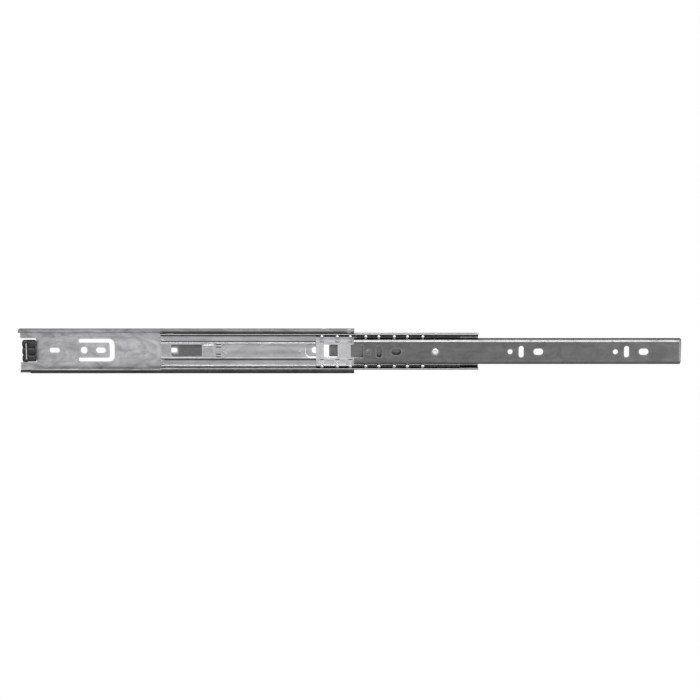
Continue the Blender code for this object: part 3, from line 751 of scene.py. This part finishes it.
def build_outer_cage():
    shape = (OUTER_CAGE_SECTION, OUTER_CAGE_SHEET, 2.0)
    cage, span, web = sheet_for("outer_ball_cage", shape, (3.0, 1.5))
    cut_pockets(cage, "outer_ball")
    outlines = [window(*size) for size in OUTER_CAGE_WINDOWS]
    cut(cage, [punch(outline, *web, rim=0.0) for outline in outlines])
    mark_rims(cage, outlines, span)
    return cage


# Balls, rivet, bumper, lever


def turned(name, centre, profile, axis, sides):
    """A surface of revolution: profile point (r, h) becomes r cos a and r sin a across the axis and
    h along it. Axis 1 turns about the depth, axis 2 about the height. Poles are single points."""
    profile = np.asarray(profile, float)
    angle = np.linspace(0.0, 2 * math.pi, sides, endpoint=False)
    ring = profile[1:-1]
    across = ring[:, :1] * np.cos(angle)
    beside = ring[:, :1] * np.sin(angle)
    level = np.broadcast_to(ring[:, 1:], across.shape)
    order = (across, level, beside) if axis == 1 else (across, -beside, level)
    points = np.stack(order, axis=-1).reshape(-1, 3)
    pole = np.array([0.0, 1.0, 0.0] if axis == 1 else [0.0, 0.0, 1.0])
    points = np.concatenate([points, [pole * profile[0, 1]], [pole * profile[-1, 1]]]) + centre
    count = len(ring) * sides
    faces = grid_faces(len(ring), sides, closed=True)
    around = np.arange(sides)
    beyond = (around + 1) % sides
    start = np.stack([np.full(sides, count), around, beyond], axis=1)
    last = count - sides
    end = np.stack([np.full(sides, count + 1), last + beyond, last + around], axis=1)
    return new_mesh(name, points, faces + start.tolist() + end.tolist())


def build_ball(node):
    """A round ball in place of a faceted one: a half circle turned about the height."""
    low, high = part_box(node)
    middle = (low + high) / 2 / MM
    radius = (high.z - low.z) / 2 / MM
    angle = np.linspace(0.0, math.pi, 17)
    profile = np.stack([radius * np.sin(angle), radius * np.cos(angle)], axis=1)
    ball = turned(node + "_round", (middle.x - REAR_END, -middle.y, middle.z), profile, 2, 28)
    ball.data.shade_smooth()
    return ball


def build_rivet():
    """The rivet: a head with a raised ring and a dished middle, a shank and a formed tail."""
    tail, top = faces_of("lever_rivet")
    head, shank, foot = RIVET_HEAD_RADIUS, RIVET_SHANK, RIVET_TAIL_RADIUS
    profile = [
        (0.0, top - 0.26), (0.5, top - 0.25), (1.0, top - 0.12), (1.35, top - 0.02), (1.7, top),
        (2.1, top - 0.04), (2.7, top - 0.10), (head - 0.15, top - 0.2), (head, top - 0.32),
        (head, top - 0.42), (shank, top - 0.42), (shank, tail + 0.8), (foot, tail + 0.8),
        (foot, tail + 0.35), (foot - 0.35, tail + 0.08), (1.2, tail), (0.7, tail + 0.12),
        (0.0, tail + 0.2),
    ]
    return turned("lever_rivet_turned", (RIVET_PLACE, 0.0, 0.0), profile, 1, 48)


def lobed_roll(name, low, high, steps=22, sides=64):
    """The bumper's solid: a squarish loop carried up its height. Across it is w |cos t|^p and d
    |sin t|^p with their signs; w and d shrink by (1 - sqrt|sin|) with one half wave of the sine
    for each lobe, and by a square at both ends."""
    half = high[2]
    share = (np.arange(BUMPER_LOBES * steps + 1)) / steps
    height = -half + share / BUMPER_LOBES * 2 * half
    valley = 1.0 - np.sqrt(np.abs(np.sin(math.pi * np.clip(share, 0.02, BUMPER_LOBES - 0.02))))
    end = np.clip((np.abs(height) - half + 1.5) / 1.5, 0.0, 1.0) ** 2
    width = (high[0] - low[0]) / 2 - BUMPER_LOBE_DEPTH * np.maximum(valley, end)
    thick = (high[1] - low[1]) / 2 - 1.3 * BUMPER_LOBE_DEPTH * np.maximum(valley, end)
    angle = np.linspace(0.0, 2 * math.pi, sides, endpoint=False)
    across = np.sign(np.cos(angle)) * np.abs(np.cos(angle)) ** 0.42
    deep = np.sign(np.sin(angle)) * np.abs(np.sin(angle)) ** 0.42
    place = (high[0] + low[0]) / 2 + width[:, None] * across
    depth = (high[1] + low[1]) / 2 + thick[:, None] * deep
    rings = np.stack([place, depth, np.broadcast_to(height[:, None], place.shape)], axis=-1)
    return new_mesh(name, *tube(rings, clockwise=True))


def moulded(name, outline, depths, edge, rows=5):
    """A moulded block: a column drawn in near both faces along a quarter circle of radius edge."""
    low, high = depths
    angle = np.linspace(0.0, math.pi / 2, rows)
    growth = np.concatenate([edge * (np.sin(angle) - 1), edge * (np.cos(angle) - 1)])
    level = np.concatenate([low + edge * (1 - np.cos(angle)), high - edge * (1 - np.sin(angle))])
    return new_mesh(name, *column(outline, np.stack([level, growth], axis=1)))


def build_bumper():
    start, end = ends_of("rear_bumper")
    back, front = faces_of("rear_bumper")
    low, high = (corner.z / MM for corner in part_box("rear_bumper"))
    bumper = lobed_roll("rear_bumper_moulding", (start, back, low), (end, front, high))
    slit_start, slit_end, slit_half = BUMPER_SLIT
    slit = window(slit_start, slit_end, 2 * slit_half, [0.6] * 4)
    nose_start, nose_half = BUMPER_NOSE
    above = ((BUMPER_STEP, 0.0), (front + CUT_MARGIN, 0.0))
    shoulders = []
    for middle in (nose_half + 5.0, -nose_half - 5.0):
        shoulder = window(nose_start, end + 2.0, 10.0, [0.4] * 4, middle=middle)
        shoulders.append(column(shoulder, above))
    cut(bumper, shoulders)
    cut(bumper, [punch(slit, back, front, rim=0.25)])
    return bumper


def lever_outline(rear, front, pivot):
    """The lever from the drawer side, anticlockwise: catch, hub, arm and thumb pad."""
    arm, hub = LEVER_ARM, LEVER_HUB
    tooth_width, tooth_height, tooth_face = LEVER_TOOTH
    thumb_length, thumb_ramp, thumb_half = LEVER_THUMB
    thumb = front - thumb_length
    corners = [
        (rear, -arm), (pivot - hub, -arm), (pivot - hub / 2, -hub), (pivot + hub / 2, -hub),
        (pivot + hub, -arm), (thumb - thumb_ramp, -arm), (thumb, -thumb_half),
        (front, -thumb_half), (front, arm), (pivot + hub, arm), (pivot + hub / 2, hub),
        (pivot - hub / 2, hub), (pivot - hub, arm), (rear + tooth_width + tooth_face, arm),
        (rear + tooth_width, tooth_height), (rear, arm + tooth_face),
    ]
    radii = [1.5, 1.5, 2.5, 2.5, 1.5, 1.5, 1.5, 2.0, 2.0, 1.5, 2.5, 2.5, 1.5, 1.0, 0.6, 1.0]
    return rounded_outline(corners, radii, 6)


def build_lever():
    """The moulded lever, with two lightening pockets and finger ribs on its side to the wall."""
    rear, front = ends_of("release_lever")
    back, face = faces_of("release_lever")
    outline = lever_outline(rear, front, RIVET_PLACE)
    lever = moulded("release_lever_moulding", outline, (back, face), 0.35)
    cutters = [punch(circle(RIVET_PLACE, LEVER_HOLE), back, face, rim=0.15)]
    for start, end in ((rear + 9.0, RIVET_PLACE - 6.5), (RIVET_PLACE + 6.5, front - 17.0)):
        pocket = window(start, end, 3.4, [1.2] * 4)
        cutters.append(column(pocket, ((back - CUT_MARGIN, 0.0), (back + 1.6, 0.0))))
    for index in range(LEVER_RIBS):
        start = front - 11.0 + LEVER_RIB_STEP * index
        groove = window(start, start + 1.0, 6.0, [0.3] * 4, middle=-1.4)
        cutters.append(column(groove, ((back - CUT_MARGIN, 0.0), (back + 0.6, 0.0))))
    cut(lever, cutters)
    return lever


# Shader groups


def join(tree, node, links):
    """Links a node's named or numbered inputs to their sources."""
    for socket, source in links.items():
        tree.links.new(source, node.inputs[socket])


def add(tree, kind, links=None, values=None, **settings):
    """A node with its settings, its linked inputs and its unlinked values."""
    node = tree.nodes.new(kind)
    for name, value in settings.items():
        setattr(node, name, value)
    for socket, value in (values or {}).items():
        node.inputs[socket].default_value = value
    join(tree, node, links or {})
    return node


def maths(tree, operation, one, two, clamp=False):
    """A Math node; one and two are sockets or numbers."""
    node = tree.nodes.new("ShaderNodeMath")
    node.operation = operation
    node.use_clamp = clamp
    for index, value in enumerate((one, two)):
        if isinstance(value, (int, float)):
            node.inputs[index].default_value = value
        else:
            tree.links.new(value, node.inputs[index])
    return node.outputs[0]


def weighted(tree, total, *terms):
    """A starting value, if any, plus each term's socket times its weight."""
    for source, weight in terms:
        part = maths(tree, "MULTIPLY", source, weight)
        total = part if total is None else maths(tree, "ADD", part, total)
    return total


def stretched(tree, vector, scale):
    return add(tree, "ShaderNodeMapping", {"Vector": vector}, {"Scale": scale}).outputs["Vector"]


def noise(tree, vector, scale, detail, distortion=0.0, roughness=0.55):
    """The value of a noise texture, whose scale is a number or a socket."""
    links = {"Vector": vector}
    values = {"Detail": detail, "Distortion": distortion, "Roughness": roughness}
    (values if isinstance(scale, float) else links)["Scale"] = scale
    return add(tree, "ShaderNodeTexNoise", links, values).outputs["Fac"]


def stretch_range(tree, value, low, high):
    """Maps low..high to 0..1, clamped."""
    limits = {"From Min": low, "From Max": high}
    return add(tree, "ShaderNodeMapRange", {"Value": value}, limits).outputs["Result"]


def point_value(tree, name):
    return add(tree, "ShaderNodeAttribute", attribute_name=name).outputs["Fac"]


def new_group(name, inputs, outputs):
    """An empty node group, its inputs' sources and its output node. Inputs are given as name:
    default, with None for a vector; outputs are values."""
    group = bpy.data.node_groups.new(name, "ShaderNodeTree")
    for socket, value in inputs.items():
        kind = "NodeSocketVector" if value is None else "NodeSocketFloat"
        made = group.interface.new_socket(name=socket, in_out="INPUT", socket_type=kind)
        if value is not None:
            made.default_value = value
    for socket in outputs:
        group.interface.new_socket(name=socket, in_out="OUTPUT", socket_type="NodeSocketFloat")
    given = group.nodes.new("NodeGroupInput").outputs
    return group, given, group.nodes.new("NodeGroupOutput")


def rolling_lines_group():
    """Fine lines along the slide, left by rolling: noise squeezed along X. Lines is the broad
    pattern and Fine the hair lines."""
    group, given, sink = new_group("rolling_lines", {"Vector": None}, ("Lines", "Fine"))
    broad = stretched(group, given["Vector"], (9.0, 260.0, 260.0))
    hair = stretched(group, given["Vector"], (30.0, 1500.0, 1500.0))
    lines = stretch_range(group, noise(group, broad, 1.0, 5.0), 0.32, 0.68)
    fine = stretch_range(group, noise(group, hair, 1.0, 3.0), 0.3, 0.7)
    join(group, sink, {"Lines": lines, "Fine": fine})
    return group


def plating_clouds_group():
    """Cloudy swirls of the plating: noise drawn through noise. Cloud is soft, Swirl has edges."""
    inputs = {"Vector": None, "Scale": 60.0}
    group, given, sink = new_group("plating_clouds", inputs, ("Cloud", "Swirl"))
    squeezed = stretched(group, given["Vector"], (0.55, 1.0, 1.0))
    broad = noise(group, squeezed, given["Scale"], 5.0, 1.6, 0.5)
    swirl = noise(group, squeezed, given["Scale"], 7.0, 4.0, 0.62)
    cloud = stretch_range(group, broad, 0.3, 0.7)
    join(group, sink, {"Cloud": cloud, "Swirl": stretch_range(group, swirl, 0.36, 0.66)})
    return group


def edge_wear_and_highlight_group():
    """Where a cut edge is rubbed bright, and where highlights are painted: the rim value broken up
    by noise.
    """
    inputs = {"Rim": 0.0, "Vector": None, "Amount": 1.0}
    group, given, sink = new_group("edge_wear_and_highlight", inputs, ("Wear",))
    patches = stretch_range(group, noise(group, given["Vector"], 420.0, 3.0), 0.25, 0.6)
    worn_and_lit = maths(group, "MULTIPLY", given["Rim"], patches)
    join(group, sink, {"Wear": maths(group, "MULTIPLY", worn_and_lit, given["Amount"], clamp=True)})
    return group


def smudges_group():
    """Oily smudges and dust: sparse soft patches and small specks."""
    inputs = {"Vector": None, "Amount": 1.0}
    group, given, sink = new_group("smudges", inputs, ("Smudge", "Specks"))
    patch = stretch_range(group, noise(group, given["Vector"], 55.0, 6.0, 2.0), 0.56, 0.74)
    speck = stretch_range(group, noise(group, given["Vector"], 900.0, 2.0), 0.68, 0.78)
    smudge = maths(group, "MULTIPLY", patch, given["Amount"], clamp=True)
    join(group, sink, {"Smudge": smudge, "Specks": speck})
    return group


GROUPS = {
    "rolling_lines": rolling_lines_group(),
    "plating_clouds": plating_clouds_group(),
    "edge_wear_and_highlight": edge_wear_and_highlight_group(),
    "smudges": smudges_group(),
}


def use_group(tree, name, links, **values):
    return add(tree, "ShaderNodeGroup", links, values, node_tree=GROUPS[name]).outputs


def grey(value):
    return (value, value, value * 1.01, 1.0)


def blend_colours(tree, factor, one, two):
    """Mix of two colours, each a socket or a grey value."""
    node = add(tree, "ShaderNodeMix", data_type="RGBA")
    tree.links.new(factor, node.inputs["Factor"])
    for socket, colour in ((6, one), (7, two)):
        if isinstance(colour, float):
            node.inputs[socket].default_value = grey(colour)
        else:
            tree.links.new(colour, node.inputs[socket])
    return node.outputs[2]


def new_material(name, metallic):
    """A material, its tree, its shader and the place on the piece."""
    made = bpy.data.materials.new(name)
    made.use_nodes = True
    tree = made.node_tree
    shader = tree.nodes["Principled BSDF"]
    shader.inputs["Metallic"].default_value = metallic
    return made, tree, shader, tree.nodes.new("ShaderNodeTexCoord").outputs["Object"]


def finish_surface(tree, shader, colour, rough, height, distance, strength):
    """Feeds a shader its colour, roughness and bump."""
    values = {"Distance": distance, "Strength": strength}
    normal = add(tree, "ShaderNodeBump", {"Height": height}, values).outputs["Normal"]
    join(tree, shader, {"Base Color": colour, "Roughness": rough, "Normal": normal})


# Materials


def zinc(name, tones, roughness, cloud_scale, swirl, line, smudge, relief, painted_shade=False):
    """Zinc-plated sheet: greys between dark and light by the plating's clouds, drawn into lines
    along the slide, brighter where edges are rubbed and where highlights are painted, duller where
    it is smudged, and darker where shade is painted."""
    dark, light, worn_and_lit = tones
    made, tree, shader, place = new_material(name, 1.0)
    clouds = use_group(tree, "plating_clouds", {"Vector": place}, Scale=cloud_scale)
    lines = use_group(tree, "rolling_lines", {"Vector": place})
    marks = use_group(tree, "smudges", {"Vector": place}, Amount=0.7)
    rim = point_value(tree, "rim")
    wear_and_highlight = use_group(tree, "edge_wear_and_highlight", {"Rim": rim, "Vector": place}, Amount=0.9)["Wear"]
    parts = (clouds["Swirl"], swirl), (clouds["Cloud"], 1.0 - swirl - line), (lines["Lines"], line)
    colour = blend_colours(tree, weighted(tree, None, *parts), dark, light)
    oily = weighted(tree, None, (marks["Smudge"], smudge))
    colour = blend_colours(tree, oily, colour, dark * 0.6)
    colour = blend_colours(tree, wear_and_highlight, colour, worn_and_lit)
    # Painted shade: colour drawn towards 0.02 by the grime value.
    if painted_shade:
        shade_amount = weighted(tree, None, (point_value(tree, "painted_shade"), 0.95))
        colour = blend_colours(tree, shade_amount, colour, 0.02)
    parts = (clouds["Cloud"], 0.1), (marks["Smudge"], 0.12), (lines["Fine"], 0.08), (wear_and_highlight, -0.1)
    rough = weighted(tree, roughness - 0.04, *parts)
    parts = (clouds["Swirl"], swirl * 3.0), (marks["Specks"], -0.4)
    finish_surface(tree, shader, colour, rough, weighted(tree, lines["Lines"], *parts), relief, 0.5)
    return made


def bright_steel(name, base, roughness, ring_centre=None):
    """Polished or turned steel with a faint oil film, and tool rings round a centre if given."""
    made, tree, shader, place = new_material(name, 1.0)
    clouds = use_group(tree, "plating_clouds", {"Vector": place}, Scale=220.0)
    marks = use_group(tree, "smudges", {"Vector": place}, Amount=0.6)
    film = weighted(tree, marks["Smudge"], (clouds["Cloud"], 0.5))
    colour = blend_colours(tree, weighted(tree, None, (film, 0.6)), base, base * 0.62)
    height = marks["Specks"]
    if ring_centre is not None:
        offset = {"Location": [-value for value in ring_centre]}
        centred = add(tree, "ShaderNodeMapping", {"Vector": place}, offset).outputs["Vector"]
        values = {"Scale": 900.0, "Distortion": 0.6}
        kind = {"wave_type": "RINGS", "rings_direction": "Y"}
        rings = add(tree, "ShaderNodeTexWave", {"Vector": centred}, values, **kind)
        height = maths(tree, "ADD", rings.outputs["Fac"], height)
    finish_surface(
        tree, shader, colour, weighted(tree, roughness, (film, 0.12)), height, 0.00002, 0.5
    )
    return made


def moulded_black(name, dark, light, roughness, grain_scale, grain_height):
    """Black rubber or plastic: a fine moulded grain, slight greying in clouds and settled dust."""
    made, tree, shader, place = new_material(name, 0.0)
    clouds = use_group(tree, "plating_clouds", {"Vector": place}, Scale=150.0)
    marks = use_group(tree, "smudges", {"Vector": place}, Amount=0.8)
    normal = tree.nodes.new("ShaderNodeNewGeometry").outputs["Normal"]
    up = add(tree, "ShaderNodeSeparateXYZ", {"Vector": normal}).outputs["Z"]
    dust = maths(tree, "MULTIPLY", stretch_range(tree, up, 0.2, 1.0), marks["Specks"])
    colour = blend_colours(tree, clouds["Cloud"], dark, light)
    colour = blend_colours(tree, weighted(tree, None, (marks["Smudge"], 0.4)), colour, light * 1.6)
    colour = blend_colours(tree, weighted(tree, None, (dust, 0.5)), colour, 0.25)
    rough = weighted(tree, roughness, (clouds["Swirl"], 0.14))
    height = weighted(tree, noise(tree, place, grain_scale, 3.0), (clouds["Swirl"], 0.3))
    finish_surface(tree, shader, colour, rough, height, grain_height, 0.6)
    return made


# Each zinc row gives its (dark, light, worn and painted-highlight) greys, roughness, cloud scale,
# swirl, line, smudge, relief in metres and whether it has painted shade.
MATERIALS = {
    "outer_zinc": zinc(
        "outer_zinc_plate", (0.38, 0.94, 0.95), 0.30, 40.0, 0.6, 0.15, 0.35, 0.00001, True
    ),
    "middle_zinc": zinc(
        "middle_zinc_plate", (0.42, 0.88, 0.95), 0.26, 60.0, 0.25, 0.55, 0.35, 0.00001, True
    ),
    "inner_zinc": zinc(
        "inner_zinc_plate", (0.19, 0.30, 0.5), 0.27, 70.0, 0.4, 0.25, 0.75, 0.000003
    ),
    "cage_zinc": zinc(
        "cage_zinc_plate", (0.55, 0.98, 0.98), 0.38, 420.0, 0.8, 0.05, 0.35, 0.00001, True
    ),
    "dark_steel": zinc(
        "dark_strip_steel", (0.15, 0.27, 0.4), 0.36, 90.0, 0.3, 0.3, 0.35, 0.00001
    ),
    "ball_steel": bright_steel("polished_ball_steel", 0.82, 0.05),
    "rivet_steel": bright_steel("rivet_bright_steel", 0.98, 0.42, (RIVET_LOW + RIVET_HIGH) / 2),
    "black_rubber": moulded_black("bumper_rubber", 0.012, 0.03, 0.34, 1400.0, 0.00003),
    "black_plastic": moulded_black("lever_plastic", 0.018, 0.035, 0.38, 2200.0, 0.00002),
}


def place_piece(piece, node, body, slot_name):
    """Gives a piece its material, body, replaced node and material slot."""
    piece.data.materials.clear()
    piece.data.materials.append(MATERIALS[slot_name])
    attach(piece, body)
    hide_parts(node)


# Each piece's builder, node, body and slot, and the angle in degrees that makes an edge sharp.
PIECES = (
    (build_outer_rail, "outer_rail", "cabinet_side", "outer_zinc", 32),
    (build_bumper, "rear_bumper", "cabinet_side", "black_rubber", 40),
    (build_outer_cage, "outer_ball_cage", "outer_cage", "dark_steel", 32),
    (build_middle_rail, "middle_rail", "middle", "middle_zinc", 32),
    (build_inner_cage, "inner_ball_cage", "inner_cage", "cage_zinc", 32),
    (build_inner_rail, "inner_rail", "drawer_side", "inner_zinc", 32),
    (build_rivet, "lever_rivet", "drawer_side", "rivet_steel", 40),
    (build_lever, "release_lever", "lever", "black_plastic", 40),
)
for build, piece_node, piece_body, piece_slot, sharp_angle in PIECES:
    built = build()
    built.data.shade_smooth()
    built.data.set_sharp_from_angle(angle=math.radians(sharp_angle))
    place_piece(built, piece_node, piece_body, piece_slot)
for ball_node in sorted(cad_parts):
    if "_ball_upper_" in ball_node or "_ball_lower_" in ball_node:
        cage_body = "inner_cage" if ball_node.startswith("inner") else "outer_cage"
        place_piece(build_ball(ball_node), ball_node, cage_body, "ball_steel")


# Camera, light and floor


def build_camera():
    data = bpy.data.cameras.new("camera")
    data.lens = LENS
    camera = new_object("camera", data)
    away = AIM_DISTANCE * MM
    rise = AIM_HEIGHT * MM + away * math.sin(AIM_ELEVATION)
    camera.location = (AIM_ACROSS, -away * math.cos(AIM_ELEVATION), rise)
    camera.rotation_euler = (math.pi / 2 - AIM_ELEVATION, 0.0, 0.0)
    bpy.context.scene.camera = camera


def softbox(name, azimuth, elevation, distance, size, radiance):
    """A large area light aimed at the middle of the slide; its power gives it that radiance."""
    data = bpy.data.lights.new(name, "AREA")
    data.shape = "RECTANGLE"
    data.size, data.size_y = size
    data.energy = radiance * math.pi * size[0] * size[1]
    lamp = new_object(name, data)
    turn, lift = math.radians(azimuth), math.radians(elevation)
    lamp.location = (
        AIM_ACROSS + distance * math.sin(turn) * math.cos(lift),
        -distance * math.cos(turn) * math.cos(lift),
        distance * math.sin(lift),
    )
    lamp.rotation_euler = (math.pi / 2 - lift, 0.0, turn)


def mixed_surface(tree, factor, one, two, output):
    """Ends a tree in shader one where factor is 0 and shader two where it is 1."""
    links = {"Fac": factor, 1: one.outputs[0], 2: two.outputs[0]}
    add(tree, output, {"Surface": add(tree, "ShaderNodeMixShader", links).outputs[0]})


def build_world():
    """White behind the slide for the camera. Everything else sees a soft studio: a grey ramp by
    the direction's height, dim below, mid at the horizon and bright above, and dimmer behind."""
    world = bpy.data.worlds.new("studio")
    bpy.context.scene.world = world
    world.use_nodes = True
    tree = world.node_tree
    tree.nodes.clear()
    direction = tree.nodes.new("ShaderNodeTexCoord").outputs["Generated"]
    parts = add(tree, "ShaderNodeSeparateXYZ", {"Vector": direction}).outputs
    ramp = add(tree, "ShaderNodeValToRGB", {"Fac": stretch_range(tree, parts["Z"], -1.0, 1.0)})
    elements = ramp.color_ramp.elements
    for element, (position, value) in zip(elements, (STUDIO_GREYS[0], STUDIO_GREYS[-1])):
        element.position, element.color = position, grey(value)
    for position, value in STUDIO_GREYS[1:-1]:
        elements.new(position).color = grey(value)
    behind = maths(tree, "MULTIPLY", stretch_range(tree, parts["Y"], -0.5, 0.25), BEHIND_DIMMING)
    strength = maths(tree, "SUBTRACT", 1.0, behind)
    links = {"Color": ramp.outputs["Color"], "Strength": strength}
    studio = add(tree, "ShaderNodeBackground", links)
    white = add(tree, "ShaderNodeBackground", values={"Color": WHITE})
    camera_ray = tree.nodes.new("ShaderNodeLightPath").outputs["Is Camera Ray"]
    mixed_surface(tree, camera_ray, studio, white, "ShaderNodeOutputWorld")


def build_floor():
    """A pale floor well below the slide, lit evenly and open from beneath."""
    half = FLOOR_SIZE / 2
    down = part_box("outer_rail")[0].z - FLOOR_DROP
    mesh = bpy.data.meshes.new("floor")
    corners = [(-half, -half, down), (half, -half, down), (half, half, down), (-half, half, down)]
    mesh.from_pydata(corners, [], [(0, 1, 2, 3)])
    floor = new_object("floor", mesh)
    made = bpy.data.materials.new("pale_floor")
    made.use_nodes = True
    tree = made.node_tree
    tree.nodes.clear()
    glow = add(tree, "ShaderNodeEmission", values={"Color": WHITE})
    clear = tree.nodes.new("ShaderNodeBsdfTransparent")
    beneath = tree.nodes.new("ShaderNodeNewGeometry").outputs["Backfacing"]
    mixed_surface(tree, beneath, glow, clear, "ShaderNodeOutputMaterial")
    mesh.materials.append(made)
    for kind in ("visible_diffuse", "visible_glossy", "visible_shadow"):
        setattr(floor, kind, False)


build_camera()
build_world()
build_floor()
softbox("front_softbox", 0.0, 42.0, 1.6, (2.4, 0.5), 4.5)
softbox("right_softbox", 46.0, 2.0, 1.8, (0.9, 0.9), 1.3)
softbox("back_softbox", 180.0, 62.0, 1.8, (2.0, 0.4), 1.2)
bpy.context.scene.view_settings.view_transform = "Standard"
